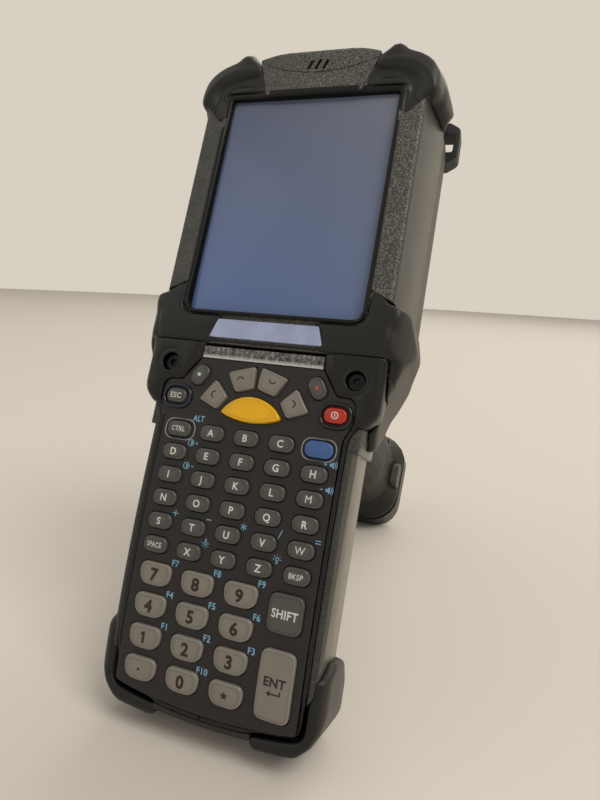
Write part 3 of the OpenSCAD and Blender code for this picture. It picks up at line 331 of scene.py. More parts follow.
MATERIALS = {made.name: made for made in (
    textured_paint(),
    moulded_rubber(),
    screen_glass(),
    ribbed_lens(),
    plain("housing_plastic", srgb(78, 76, 68), 0.5, 14, 0.4, 0.05, 1.2),
    plain("gasket_rubber", srgb(14, 14, 16), 0.6),
    plain("sheet_metal", srgb(150, 150, 150), 0.4, edge_mm=0.3, Metallic=1.0),
    plain("nameplate_metal", srgb(168, 178, 214), 0.35, 5, 0.15, 0.01),
    plain("black_plastic", srgb(30, 30, 32), 0.5, edge_mm=0.8),
    plain("circuit_board", srgb(30, 84, 52), 0.45),
    plain("cell_wrap", srgb(60, 120, 134), 0.35),
    plain("gloss_black", srgb(6, 6, 8), 0.28, 20, 0.5, 0.003, Specular_IOR_Level=0.4),
    plain("plate_plastic", srgb(32, 30, 33), 0.45, 10, 0.3, 0.01, Specular_IOR_Level=0.4),
    plain("steel_screw", srgb(40, 40, 42), 0.3, 2, 0.2, 0.03, 0.3, Metallic=1.0),
    plain("bright_steel", srgb(170, 170, 172), 0.3, Metallic=1.0),
    plain("scan_glass", srgb(52, 12, 16), 0.08),
    plain("grip_plastic", srgb(13, 12, 7), 0.46, 14, 0.3, 0.02, 2.0, Specular_IOR_Level=0.3),
    plain("contact_brass", srgb(190, 150, 80), 0.3, Metallic=1.0),
    plain("battery_plastic", srgb(34, 35, 38), 0.5, edge_mm=0.8),
    key_plastic("yellow_key", srgb(246, 186, 14), 1.05, 0.86),
    key_plastic("red_key", srgb(192, 52, 38)),
    key_plastic("blue_key", srgb(64, 100, 156), 1.2, 0.85),
    key_plastic("light_key", srgb(133, 127, 118)),
    key_plastic("dark_key", srgb(80, 79, 76), 1.05, 0.72),
)}

for row in frame["record"]["subparts"]:
    mesh = nodes[row["node"]].data
    mesh.materials.clear()
    mesh.materials.append(MATERIALS[row["material_slot"]].mat)


# ---------------------------------------------------------------- mesh tools
def piece(name, vertices, faces, material, body="terminal", smooth=True):
    """A piece from vertices in the frame's metres, which rides on a body."""
    mesh = bpy.data.meshes.new(name)
    mesh.from_pydata([tuple(v) for v in vertices], [], [tuple(int(i) for i in f) for f in faces])
    mesh.update()
    mesh.polygons.foreach_set("use_smooth", [smooth] * len(mesh.polygons))
    mesh.materials.append(material.mat)
    made = bpy.data.objects.new(name, mesh)
    bpy.context.scene.collection.objects.link(made)
    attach(made, body)
    return made


def replacement(name, node, vertices, faces):
    """A piece that takes a node's place, with the node's material and body."""
    slot = next(row["material_slot"] for row in frame["record"]["subparts"] if row["node"] == node)
    body = next(body for body, held in frame["record"]["behaviour"]["bodies"].items() if node in held)
    made = piece(name, vertices, faces, MATERIALS[slot], body)
    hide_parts(node)
    return made


def keep_values(made, name, values):
    """Gives a mesh one number for each vertex, which its material reads."""
    made.data.attributes.new(name, "FLOAT", "POINT").data.foreach_set("value", values.astype(np.float32))


def islands(node):
    """Vertex arrays of a node's separate solids, from left to right, in metres."""
    mesh = bmesh.new()
    mesh.from_mesh(nodes[node].data)
    bmesh.ops.remove_doubles(mesh, verts=mesh.verts, dist=1e-6)
    seen, found = set(), []
    for start in mesh.verts:
        if start in seen:
            continue
        stack, group = [start], []
        seen.add(start)
        while stack:
            vertex = stack.pop()
            group.append(tuple(vertex.co))
            for edge in vertex.link_edges:
                other = edge.other_vert(vertex)
                if other not in seen:
                    seen.add(other)
                    stack.append(other)
        found.append(np.array(group))
    mesh.free()
    return sorted(found, key=lambda g: g[:, 0].mean())


def convex_hull(points):
    """Corners of the hull of 2D points, anticlockwise."""
    pts = sorted(set(map(tuple, np.round(points, 4))))
    def half(order):
        chain = []
        for p in order:
            while len(chain) > 1:
                (ax, ay), (bx, by) = chain[-2], chain[-1]
                if (bx - ax) * (p[1] - ay) - (by - ay) * (p[0] - ax) > 0:
                    break
                chain.pop()
            chain.append(p)
        return chain[:-1]
    return np.array(half(pts) + half(pts[::-1]))


def resampled(outline, count, soften):
    """A closed outline as evenly spaced points, with its corners rounded by averaging."""
    closed = np.vstack([outline, outline[:1]])
    along = np.concatenate([[0], np.cumsum(np.linalg.norm(np.diff(closed, axis=0), axis=1))])
    at = np.linspace(0, along[-1], count, endpoint=False)
    ring = np.stack([np.interp(at, along, closed[:, i]) for i in (0, 1)], 1)
    for _ in range(soften):
        ring = (np.roll(ring, 1, 0) + 2 * ring + np.roll(ring, -1, 0)) / 4
    return ring


def moved_in(ring, distance):
    """The outline moved inwards along its own normals."""
    tangent = np.roll(ring, -1, 0) - np.roll(ring, 1, 0)
    tangent /= np.linalg.norm(tangent, axis=1)[:, None]
    return ring + distance * np.stack([-tangent[:, 1], tangent[:, 0]], 1)


def ring_faces(rings, count, loop=False):
    """Quads between rings of points. In a loop, the last ring joins the first and the quads turn over."""
    faces = []
    for r in range(rings if loop else rings - 1):
        here, there = r * count, (r + 1) % rings * count
        for i in range(count):
            j = (i + 1) % count
            if loop:
                faces.append((here + i, there + i, there + j, here + j))
            else:
                faces.append((here + i, here + j, there + j, there + i))
    return faces


def capped(rings, count):
    """Quads between rings of points, with a flat cap on the first and on the last ring."""
    last = (rings - 1) * count
    return [tuple(reversed(range(count)))] + ring_faces(rings, count) + [tuple(range(last, last + count))]


def together(parts):
    """Joins lists of (vertices, faces)."""
    vertices, faces, start = [], [], 0
    for own, own_faces in parts:
        vertices.append(own)
        faces += [tuple(i + start for i in face) for face in own_faces]
        start += len(own)
    return np.concatenate(vertices), faces


# ---------------------------------------------------------------- rounded pieces
# A soft piece is its CAD solid on a fine grid. Its outer faces come from a blurred copy of the solid
# together with what it sits on, so that they round over, and its seams stay where the CAD has them.
OFF_FACES_MM = 0.0137               # keeps the sample points off the flat faces of the CAD
PAST_HIT_MM = 2e-4                  # the next ray starts this far beyond the last surface
BELOW_MM = 500                      # rays start this far below the grid
BLUR_SLOPE = 2.5                    # turns a step blurred by a sigma of 1 into a distance


class Grid:
    """Evenly spaced sample points in the device's axes, in millimetres."""

    def __init__(self, low, high, step):
        self.step = step
        self.low = np.array(low) + OFF_FACES_MM
        self.shape = tuple(int(n) for n in np.ceil((np.array(high) - low) / step) + 1)
        self.axes = [self.low[i] + step * np.arange(self.shape[i]) for i in range(3)]

    def at(self, cells):
        return self.low + cells * self.step


def tree_of(node):
    mesh = nodes[node].data
    back = TO_FRAME.inverted()
    return BVHTree.FromPolygons([back @ v.co for v in mesh.vertices], [p.vertices[:] for p in mesh.polygons])


def crossings(tree, start):
    """Heights at which an upright line passes through a solid's surface."""
    up = Vector((0, 0, 1))
    point, found = Vector(start), []
    while True:
        hit = tree.ray_cast(point, up, 2 * BELOW_MM)[0]
        if hit is None:
            return found
        found.append(hit.z)
        point = hit + up * PAST_HIT_MM


def insides(tree, grid):
    """Which sample points lie in a solid."""
    inside = np.zeros(grid.shape, bool)
    for i, x in enumerate(grid.axes[0]):
        for j, y in enumerate(grid.axes[1]):
            hits = crossings(tree, (x, y, grid.low[2] - BELOW_MM))
            for a, b in zip(hits[::2], hits[1::2]):
                first, last = np.searchsorted(grid.axes[2], (a, b))
                inside[i, j, first:last] = True
    return inside


def spans(inside):
    """Fills what lies between the first and last inner point along every axis."""
    filled = np.ones(inside.shape, bool)
    for axis in range(3):
        before = np.logical_or.accumulate(inside, axis)
        after = np.flip(np.logical_or.accumulate(np.flip(inside, axis), axis), axis)
        filled &= before & after
    return filled


def neighbours(axis):
    """Slices for each cell but the last along an axis, and for the one after it."""
    before, after = [slice(None)] * 3, [slice(None)] * 3
    before[axis], after[axis] = slice(0, -1), slice(1, None)
    return tuple(before), tuple(after)


def edge_cells(inside, width):
    """Cells within a few steps of a change between inside and outside."""
    near = np.zeros(inside.shape, bool)
    for axis in range(3):
        for side in neighbours(axis):
            near[side] |= np.diff(inside, axis=axis)
    for _ in range(width - 1):
        grown = near.copy()
        for axis in range(3):
            before, after = neighbours(axis)
            grown[before] |= near[after]
            grown[after] |= near[before]
        near = grown
    return near


def signed_distance(trees, inside, grid, width):
    """Distance to the nearest surface, in millimetres and below zero inside, near the surface."""
    far = (width + 1) * grid.step
    field = np.where(inside, -far, far).astype(np.float32)
    cells = np.argwhere(edge_cells(inside, width))
    gaps = np.empty(len(cells), np.float32)
    for i, point in enumerate(grid.at(cells).tolist()):
        gaps[i] = min((tree.find_nearest(point, far)[3] or far) for tree in trees)
    index = tuple(cells.T)
    field[index] = np.where(inside[index], -gaps, gaps)
    return field


def blurred(field, sigma):
    """A Gaussian blur; the edges of the grid repeat."""
    reach = int(math.ceil(3 * sigma))
    weights = np.exp(-0.5 * (np.arange(-reach, reach + 1) / sigma) ** 2)
    weights /= weights.sum()
    for axis in range(3):
        padded = np.pad(field, [(reach, reach) if i == axis else (0, 0) for i in range(3)], mode="edge")
        total = np.zeros_like(field)
        for i, weight in enumerate(weights):
            part = [slice(None)] * 3
            part[axis] = slice(i, i + field.shape[axis])
            total += np.float32(weight) * padded[tuple(part)]
        field = total
    return field


def both(a, b, radius):
    """Where two solids overlap, with the edge between them rounded."""
    inner = np.minimum(np.maximum(a, b), -radius)
    return inner + np.hypot(np.maximum(a + radius, 0), np.maximum(b + radius, 0))


def surface_nets(field, grid):
    """Vertices and quads of the zero level of a field."""
    inside = field < 0
    corners = [(i, j, k) for i in (0, 1) for j in (0, 1) for k in (0, 1)]
    total = np.zeros(tuple(n - 1 for n in field.shape), np.uint8)
    for c in corners:
        total += inside[tuple(slice(o, n - 1 + o) for o, n in zip(c, field.shape))]
    cells = np.argwhere((total > 0) & (total < 8))
    index = np.full(total.shape, -1, np.int64)
    index[tuple(cells.T)] = np.arange(len(cells))
    sums, count = np.zeros((len(cells), 3)), np.zeros(len(cells))
    for axis in range(3):
        step = np.eye(3, dtype=int)[axis]
        for c in corners:
            if c[axis]:
                continue
            a, b = field[tuple((cells + c).T)], field[tuple((cells + c + step).T)]
            crossed = (a < 0) != (b < 0)
            share = np.where(crossed, a / np.where(crossed, a - b, 1), 0)
            sums += (np.array(c, float) + np.outer(share, step)) * crossed[:, None]
            count += crossed
    vertices = grid.at(cells + sums / count[:, None])
    quads = []
    for axis in range(3):
        u, v = (axis + 1) % 3, (axis + 2) % 3
        first = [slice(1, n - 1) for n in field.shape]
        second = list(first)
        first[axis], second[axis] = slice(0, -1), slice(1, None)
        edge = np.argwhere(inside[tuple(first)] != inside[tuple(second)]) + 1
        edge[:, axis] -= 1
        ring = []
        for du, dv in ((0, 0), (-1, 0), (-1, -1), (0, -1)):
            at = edge.copy()
            at[:, u] += du
            at[:, v] += dv
            ring.append(index[tuple(at.T)])
        ring = np.stack(ring, 1)
        outwards = inside[tuple(edge.T)]
        ring[~outwards] = ring[~outwards][:, ::-1]
        quads.append(ring)
    return vertices, np.concatenate(quads)


def soft_shape(node, seats, sigma, step, seam=0.35, right_half=False, form=None, skin=0.0, cut=None):
    """A rounded copy of a node that sits on other nodes: vertices in the device's axes, and quads.

    sigma is the width of the blur that rounds it, and seam the radius of its edges to its neighbours.
    form carves the outer surface, down to a skin of this thickness over the seats, and cut goes right
    through.
    """
    low, high = device_box(node)
    pad = 3 * step + 2 * sigma
    if right_half:
        low[0] = -2 * sigma
    wide = Grid(low - pad, high + pad, step)
    own = tree_of(node)
    under = [tree_of(seat) for seat in seats]
    inside = insides(own, wide)
    seated = np.zeros_like(inside)
    for tree in under:
        seated |= insides(tree, wide)
    whole = spans(inside | seated)
    cover = np.clip(0.5 - signed_distance([own] + under, whole, wide, 1) / step, 0, 1).astype(np.float32)
    outer = (0.5 - blurred(cover, sigma / step)) * sigma * BLUR_SLOPE
    places = np.meshgrid(*wide.axes, indexing="ij", sparse=True)
    if form:
        formed = form(outer, *places)
        if skin:
            floor = np.maximum(outer, signed_distance(under, seated, wide, 2) - skin)
            formed = np.minimum(formed, floor)
        outer = formed
    if cut:
        outer = both(outer, cut(*places), 0.5)
    field = both(signed_distance([own], inside, wide, 3), outer, seam)
    return surface_nets(field, wide)


def mirrored(vertices, quads):
    return vertices * (-1, 1, 1), quads[:, ::-1]


def clipped(vertices, quads):
    """The part of a mesh right of the middle plane, drawn flat against it, with its mirror image."""
    quads = quads[vertices[quads].mean(1)[:, 0] > 0]
    used, quads = np.unique(quads, return_inverse=True)
    quads = quads.reshape(-1, 4)
    vertices = vertices[used]
    rim = vertices[:, 0] <= 0
    vertices[rim, 0] = 0
    beside = np.where(rim, np.arange(len(vertices)), np.cumsum(~rim) - 1 + len(vertices))
    both_sides = np.concatenate([vertices, vertices[~rim] * (-1, 1, 1)])
    return both_sides, np.concatenate([quads, beside[quads][:, ::-1]])


def soft_piece(node, vertices, quads, depth=None):
    made = replacement(node + "_soft", node, to_frame(vertices), quads)
    if depth is not None:
        keep_values(made, "form", depth)


# ---------------------------------------------------------------- rubber
def seen_at(x, y, z):
    """Where the line of sight through each place meets the level of the keys' tops."""
    share = EYE[2] / (EYE[2] - z)
    return EYE[0] + (x - EYE[0]) * share, EYE[1] + (y - EYE[1]) * share


def smooth_line(points, steps=6):
    """A curve through drawn points."""
    pts = np.array([points[0]] + list(points) + [points[-1]], float)
    made = []
    for a, b, c, d in zip(pts, pts[1:], pts[2:], pts[3:]):
        for t in np.arange(steps) / steps:
            made.append(0.5 * (2 * b + (c - a) * t + (2 * a - 5 * b + 4 * c - d) * t ** 2
                               + (3 * b - a - 3 * c + d) * t ** 3))
    return made + [pts[-1]]


def line_distance(u, v, points):
    gap = np.full(np.broadcast(u, v).shape, np.inf)
    for (ax, ay), (bx, by) in zip(points, points[1:]):
        dx, dy = bx - ax, by - ay
        share = np.clip(((u - ax) * dx + (v - ay) * dy) / max(dx * dx + dy * dy, 1e-9), 0, 1)
        gap = np.minimum(gap, np.hypot(u - ax - share * dx, v - ay - share * dy))
    return gap


def outline_distance(u, v, points):
    """Distance from a closed outline, below zero inside."""
    points = list(points) + [points[0]]
    inside = np.zeros(np.broadcast(u, v).shape, bool)
    for (ax, ay), (bx, by) in zip(points, points[1:]):
        if ay != by:
            inside ^= ((ay > v) != (by > v)) & (u < (bx - ax) * (v - ay) / (by - ay) + ax)
    gap = line_distance(u, v, points)
    return np.where(inside, -gap, gap)


def rise(value, low, high):
    """0 up to the low value, 1 from the high one on, and smooth between them."""
    share = np.clip((value - low) / (high - low), 0, 1)
    return share * share * (3 - 2 * share)


def trough(gap, width):
    """1 on a line and less to either side of it."""
    return np.exp(-(gap / width) ** 2)


# Lines on the face, as they are seen from the front and drawn on the level of the keys' tops
HOUSINGS = ["front_housing", "rear_housing"]
OPENING = (29.9, 94.9, 39.0)        # half width, middle and half height of the screen's opening
BUMPER_TOP = [(15.0, 142.0), (20.5, 146.0), (23.4, 148.2), (24.9, 149.6), (26.9, 150.0), (28.9, 149.4),
              (30.4, 148.1), (31.8, 147.4), (34.4, 146.4), (37.0, 144.8), (39.0, 142.9), (40.7, 140.0),
              (42.6, 136.4), (44.6, 130.9), (46.5, 126.2), (47.5, 123.9), (47.3, 122.8), (46.2, 121.4),
              (45.2, 119.6), (45.0, 117.0)]
BUMPER_CHANNEL = smooth_line([(14.0, 138.2), (22.0, 139.2), (27.2, 139.0), (31.2, 137.6), (34.0, 134.2),
                              (34.1, 129.0), (33.0, 122.0)])
BUMPER_CREST = smooth_line([(10.0, 143.6), (25.9, 144.4), (29.5, 144.0), (32.8, 142.6), (35.6, 140.3),
                            (38.2, 136.7), (39.4, 132.8), (39.6, 128.0), (38.0, 118.0)], 4)
BUMPER_FROM_Z = -8.0, -4.0          # the front of the bumpers starts here
CHANNEL_DEPTH, CHANNEL_WIDTH = 0.95, 2.7
OPENING_GAP = 1.1
SHOULDER_SEAM = smooth_line([(30.7, 45.9), (34.3, 44.7), (36.8, 43.4), (39.5, 41.3), (41.1, 39.1),
                             (41.6, 37.2), (41.5, 34.5), (40.7, 29.1), (39.7, 25.1), (38.7, 21.0),
                             (37.8, 18.9)])
COLLAR_PANEL = smooth_line([(20.0, 74.0), (30.0, 68.0), (33.2, 62.6), (35.6, 61.4), (36.9, 59.3),
                            (37.0, 54.8), (36.4, 49.9), (35.6, 45.4), (35.0, 40.0), (-20.0, 40.0),
                            (-20.0, 74.0)], 4)


def bumper_form(outer, x, y, z):
    """The top as it is seen from the front, with a crest and a channel round the screen's corner."""
    u, v = seen_at(x, y, z)
    below = [(40.0, 112.0), (-5.0, 112.0), (-5.0, 141.0)]
    outer = both(outer, outline_distance(u, v, BUMPER_TOP + below), 0.9)
    crest = outline_distance(u, v, BUMPER_CREST + [(-5.0, 118.0), (-5.0, 143.6)])
    channel = line_distance(u, v, BUMPER_CHANNEL)
    sunk = rise(crest, 0, 5.0) * rise(u, 26.0, 30.0) + CHANNEL_DEPTH * trough(channel, CHANNEL_WIDTH)
    return outer + rise(z, *BUMPER_FROM_Z) * sunk


def clear_of_opening(x, y, z):
    """Below zero where a piece keeps a gap to the screen's opening."""
    half_w, middle, half_h = OPENING
    return OPENING_GAP - np.hypot(np.maximum(x - half_w, 0), np.maximum(y - middle - half_h, 0)) + 0 * z


def bumper_depth(vertices):
    """The channel round the screen's corner, and the raised line of the crest."""
    x, y, z = vertices.T
    u, v = seen_at(x, y, z)
    channel, crest = line_distance(u, v, BUMPER_CHANNEL), line_distance(u, v, BUMPER_CREST)
    return rise(z, *BUMPER_FROM_Z) * (0.4 * trough(channel, 2.6) - 0.3 * trough(crest, 1.2) + 0.3)


SEAM_DEPTH, SEAM_WIDTH = 0.3, 0.45
PANEL_RAISED = 0.6
SHOULDER_FROM_Y = 54.0, 59.0        # up from here, the collar is as high as its panel


def collar_form(outer, x, y, z):
    """A raised panel round the screen's lower corners, and the seam that runs down the skirt."""
    u, v = seen_at(x, y, z)
    seam = SEAM_DEPTH * trough(line_distance(u, v, SHOULDER_SEAM), SEAM_WIDTH)
    beside = rise(outline_distance(u, v, COLLAR_PANEL), 0, 1.4)
    sunk = PANEL_RAISED * beside * (1 - rise(v, *SHOULDER_FROM_Y))
    return outer + rise(z, -9.0, -5.0) * seam + rise(z, -7.0, -1.0) * sunk


def frame_form(outer, x, y, z):
    """Flat round the screw wells, so that their edges stay crisp."""
    well_x, well_y = 30.5, 38.7
    well = 1 - rise(np.hypot(np.abs(x) - well_x, y - well_y), 3.3, 4.3) + 0 * z
    return outer * (1 - well) + (z - 0.2) * well


def bumpers():
    shape = soft_shape("bumper_right", HOUSINGS, 1.5, 0.4, form=bumper_form, skin=0.35, cut=clear_of_opening)
    soft_piece("bumper_right", *shape, bumper_depth(shape[0]))
    soft_piece("bumper_left", *mirrored(*shape), bumper_depth(shape[0]))


def boots():
    shape = soft_shape("boot_right", HOUSINGS, 1.1, 0.4)
    soft_piece("boot_right", *shape)
    soft_piece("boot_left", *mirrored(*shape))


def collar():
    seats = HOUSINGS + ["keypad_frame"]
    shape = soft_shape("collar", seats, 1.1, 0.4, right_half=True, form=collar_form, skin=0.35)
    soft_piece("collar", *clipped(*shape))


def keypad_frame():
    seats = HOUSINGS + ["collar", "keypad_plate"]
    shape = soft_shape("keypad_frame", seats, 1.7, 0.45, 0.25, right_half=True, form=frame_form)
    soft_piece("keypad_frame", *clipped(*shape))


bumpers()
boots()
collar()
keypad_frame()


# ---------------------------------------------------------------- edges on the face
def surface_height(trees, x, y):
    """Height of the highest of these surfaces, at a place on the face."""
    hits = [tree.ray_cast(Vector((x, y, 12)), Vector((0, 0, -1)), 40)[0] for tree in trees]
    return max((hit.z for hit in hits if hit), default=0.0)


def opening_path():
    """Stations round the screen's opening: the middle of the corner, its radius and the way out."""
    half_w, middle, half_h = OPENING
    upper, lower = 1.5, 4.0
    corners = []
    for sx, sy, r, first in ((1, 1, upper, 0), (1, -1, lower, 90), (-1, -1, lower, 180), (-1, 1, upper, 270)):
        centre = sx * (half_w - r), middle + sy * (half_h - r)
        for a in np.radians(np.linspace(first, first + 90, 9)):
            corners.append((*centre, r, math.sin(a), math.cos(a)))
    path = []
    for a, b in zip(corners, corners[1:] + corners[:1]):
        path.append(a)
        here, there = (np.array([s[0] + s[2] * s[3], s[1] + s[2] * s[4]]) for s in (a, b))
        if np.linalg.norm(here - there) < 20:
            continue
        for share in np.arange(1, 12) / 12:
            x, y = here + (there - here) * share
            path.append((x - a[2] * b[3], y - a[2] * b[4], a[2], b[3], b[4]))
    return path


def screen_bezel():
    """A black bead that lines the screen's opening and laps over its edge."""
    trees = [tree_of(n) for n in ("front_housing", "collar")]
    panel = device_box("touch_panel")[1][2] + 0.03
    rings = []
    for cx, cy, r, ox, oy in opening_path():
        above_collar = float(rise(cy + r * oy, 62, 72))
        lip = 0.45 + 0.55 * above_collar + 0.7 * max(0.0, oy) ** 2
        face = surface_height(trees, cx + (r + lip + 0.2) * ox, cy + (r + lip + 0.2) * oy)
        profile = [(-0.1, panel), (-0.75, panel), (-0.75, face - 0.5), (-0.62, face - 0.15),
                   (-0.35, face + 0.08), (0, face + 0.18), (lip - 0.35, face + 0.2), (lip - 0.08, face + 0.1),
                   (lip, face - 0.1), (lip, face - 0.35), (-0.1, face - 0.5)]
        rings.append([(cx + (r + out) * ox, cy + (r + out) * oy, z) for out, z in profile])
    black = plain("bezel_black", srgb(8, 8, 9), 0.3, 20, 0.5, 0.003, Specular_IOR_Level=0.25)
    faces = ring_faces(len(rings), len(rings[0]), loop=True)
    piece("screen_bezel", to_frame(np.concatenate(rings)), faces, black)


SCOOP_X, SCOOP_Y, SCOOP_R = 1.0, 191.9, 50.0
SCOOP_HALF_ANGLE = 22.5


def speaker_rim():
    """The raised edge of the shallow scoop round the speaker slots."""
    tree = tree_of("front_housing")
    rings = []
    for a in np.radians(np.linspace(-SCOOP_HALF_ANGLE, SCOOP_HALF_ANGLE, 61)):
        x, y = SCOOP_X + SCOOP_R * math.sin(a), SCOOP_Y - SCOOP_R * math.cos(a)
        z = surface_height([tree], x, y)
        size = 0.16 + 0.1 * math.cos(a * 90 / SCOOP_HALF_ANGLE)
        wide = 2.2 * size
        rings.append([(x - math.sin(a) * wide * math.cos(t), y + math.cos(a) * wide * math.cos(t),
                       z + size * math.sin(t)) for t in np.radians(np.arange(0, 360, 45))])
    faces = capped(len(rings), len(rings[0]))
    piece("speaker_rim", to_frame(np.concatenate(rings)), faces, MATERIALS["textured_paint"])


screen_bezel()
speaker_rim()


# ---------------------------------------------------------------- keys
class Key:
    """One key, read off its CAD solid: its outline, its flange and the curve of its crown."""

    def __init__(self, points, turn):
        self.turn = turn
        local = points @ turn / MM
        levels = np.unique(np.round(local[:, 2], 2))
        self.flange = levels[0], levels[1]
        cap = local[local[:, 2] > levels[1] + 0.3]
        self.centre = (cap[:, :2].min(0) + cap[:, :2].max(0)) / 2
        self.curve = np.linalg.lstsq(self.terms(cap[:, :2] - self.centre), cap[:, 2], rcond=None)[0]
        self.hull = convex_hull(cap[:, :2]) - self.centre

    def terms(self, ring):
        x, y = ring.T
        return np.stack([np.ones_like(x), x, y, x * x + y * y], 1)

    def crown(self, ring):
        """Heights of the crown at points round the key's centre."""
        return self.terms(ring) @ self.curve

    def placed(self, ring, z):
        """Points in the frame from points round the key's centre and their heights."""
        flat = np.stack([ring[:, 0] + self.centre[0], ring[:, 1] + self.centre[1], z], 1)
        return flat @ self.turn.T * MM


KEY_POINTS = 88
KEY_FILLET = 0.45
FLANGE_REACH = 0.5


def key_rings(key, soften):
    """Vertices of one rounded key from its flange up over the crown, and how far each lies from the edge."""
    outline = resampled(key.hull, KEY_POINTS, soften)
    reach = moved_in(outline, -FLANGE_REACH)
    low, high = key.flange
    flat = np.ones(KEY_POINTS)
    rings = [key.placed(reach, flat * low), key.placed(reach, flat * high), key.placed(outline, flat * high)]
    inner = [0, 0, 0]
    for step in range(6):
        a = math.pi / 2 * step / 5
        ring = moved_in(outline, KEY_FILLET * (1 - math.cos(a)))
        rings.append(key.placed(ring, key.crown(ring) - KEY_FILLET * (1 - math.sin(a))))
        inner.append(KEY_FILLET * (1 - math.cos(a)))
    for share in (0.9, 0.78, 0.62, 0.45, 0.28, 0.12, 0.02):
        part = ring * share
        rings.append(key.placed(part, key.crown(part)))
        inner.append(KEY_FILLET + (1 - share) * abs(ring[:, 1]).max())
    return np.concatenate(rings), np.repeat(inner, KEY_POINTS)


def key_piece(node, soften=2):
    """All the keys of a node as rounded caps."""
    turn = turn_of(node + "_press")
    keys = [Key(points, turn) for points in islands(node)]
    parts, edge = [], []
    for key in keys:
        vertices, inner = key_rings(key, soften)
        parts.append((vertices, capped(len(vertices) // KEY_POINTS, KEY_POINTS)))
        edge.append(inner)
    made = replacement(node + "_cap", node, *together(parts))
    keep_values(made, "from_edge", np.concatenate(edge))
    return keys


# ---------------------------------------------------------------- lettering
def bisected(mesh, spacing):
    """Cuts a flat mesh along a grid, so that it can follow a curved face."""
    for axis, normal in ((0, Vector((1, 0, 0))), (1, Vector((0, 1, 0)))):
        values = [v.co[axis] for v in mesh.verts]
        at, end = math.floor(min(values) / spacing) * spacing + spacing, max(values)
        while at < end:
            everything = mesh.verts[:] + mesh.edges[:] + mesh.faces[:]
            bmesh.ops.bisect_plane(mesh, geom=everything, plane_co=normal * at, plane_no=normal, dist=1e-5)
            at += spacing


CAP_HEIGHT = 0.7                    # of the font's size


def letters(text, height, narrow, weight=0.016):
    """A flat mesh of plain lettering round the origin, in millimetres."""
    curve = bpy.data.curves.new("letters", "FONT")
    curve.body = text
    curve.size = height / CAP_HEIGHT
    curve.offset = weight * curve.size
    curve.align_x = "CENTER"
    curve.space_character = 1.06
    curve.resolution_u = 3
    made = bpy.data.objects.new("letters", curve)
    bpy.context.scene.collection.objects.link(made)
    bpy.context.view_layer.update()
    graph = bpy.context.evaluated_depsgraph_get()
    mesh = bmesh.new()
    mesh.from_mesh(bpy.data.meshes.new_from_object(made.evaluated_get(graph)))
    bpy.data.objects.remove(made)
    bmesh.ops.remove_doubles(mesh, verts=mesh.verts, dist=1e-5)
    middle = -height / 2
    for v in mesh.verts:
        v.co = Vector((v.co.x * narrow, v.co.y + middle, 0))
    return mesh


def stroke(lines, width):
    """A flat mesh of drawn lines, each a list of points; a line whose ends meet is closed."""
    mesh = bmesh.new()
    for line in lines:
        closed = line[0] == line[-1]
        pts = np.array(line[:-1] if closed else line, float)
        ahead, behind = np.roll(pts, -1, 0) - pts, pts - np.roll(pts, 1, 0)
        if not closed:
            ahead[-1], behind[0] = behind[-1], ahead[0]
        a = ahead / np.linalg.norm(ahead, axis=1)[:, None]
        b = behind / np.linalg.norm(behind, axis=1)[:, None]
        normal = np.stack([-a[:, 1], a[:, 0]], 1)
        across = np.stack([-(a + b)[:, 1], (a + b)[:, 0]], 1)
        across /= np.linalg.norm(across, axis=1)[:, None]
        across /= np.maximum(0.5, (normal * across).sum(1))[:, None]
        left = [mesh.verts.new((*p, 0)) for p in pts + across * width / 2]
        right = [mesh.verts.new((*p, 0)) for p in pts - across * width / 2]
        for i in range(len(pts) if closed else len(pts) - 1):
            j = (i + 1) % len(pts)
            mesh.faces.new((right[i], right[j], left[j], left[i]))
    return mesh


def moved(flat, x, y):
    for v in flat.verts:
        v.co += Vector((x, y, 0))
    return flat


def joined(*parts):
    """Flat meshes put together."""
    whole = bmesh.new()
    for part in parts:
        kept = bpy.data.meshes.new("part")
        part.to_mesh(kept)
        part.free()
        whole.from_mesh(kept)
        bpy.data.meshes.remove(kept)
    return whole


PRINT_UP = 0.02
PRINT_DOWN = 0.08


def printed(flat, place, spacing=0.6):
    """Vertices and faces of thin lettering. place gives the frame's points for flat ones and a height."""
    bisected(flat, spacing)
    bmesh.ops.triangulate(flat, faces=flat.faces[:])
    flat.verts.index_update()
    flat_points = np.array([(v.co.x, v.co.y) for v in flat.verts])
    count = len(flat_points)
    faces = []
    for face in flat.faces:
        ids = [v.index for v in face.verts]
        if face.normal.z < 0:
            ids.reverse()
        faces += [tuple(ids), tuple(i + count for i in reversed(ids))]
    for edge in flat.edges:
        if len(edge.link_faces) == 1:
            loop = edge.link_loops[0]
            a, b = loop.vert.index, loop.link_loop_next.vert.index
            if edge.link_faces[0].normal.z < 0:
                a, b = b, a
            faces.append((a, a + count, b + count, b))
    flat.free()
    return np.concatenate([place(flat_points, PRINT_UP), place(flat_points, -PRINT_DOWN)]), faces


def print_piece(name, parts, material, body="terminal"):
    piece(name, *together(parts), material, body, smooth=False)


def around(radius, angle, x=0.0, y=0.0):
    """The point of a circle at an angle in degrees from straight up, clockwise."""
    turn = math.radians(angle)
    return x + radius * math.sin(turn), y + radius * math.cos(turn)


def arc(radius, start, end, steps=24, x=0.0, y=0.0):
    return [around(radius, angle, x, y) for angle in np.linspace(start, end, steps + 1)]


def filled(points):
    mesh = bmesh.new()
    mesh.faces.new([mesh.verts.new((*p, 0)) for p in reversed(points)])
    return mesh


def disc(radius):
    return filled(arc(radius, 0, 360, 16)[:-1])


def ring_mark(radius, width):
    circle = arc(radius, 0, 360)
    return stroke([circle[:-1] + circle[:1]], width)


def star_mark(radius, inner):
    """A star with five points."""
    return filled([around(inner if i % 2 else radius, 36 * i) for i in range(10)])


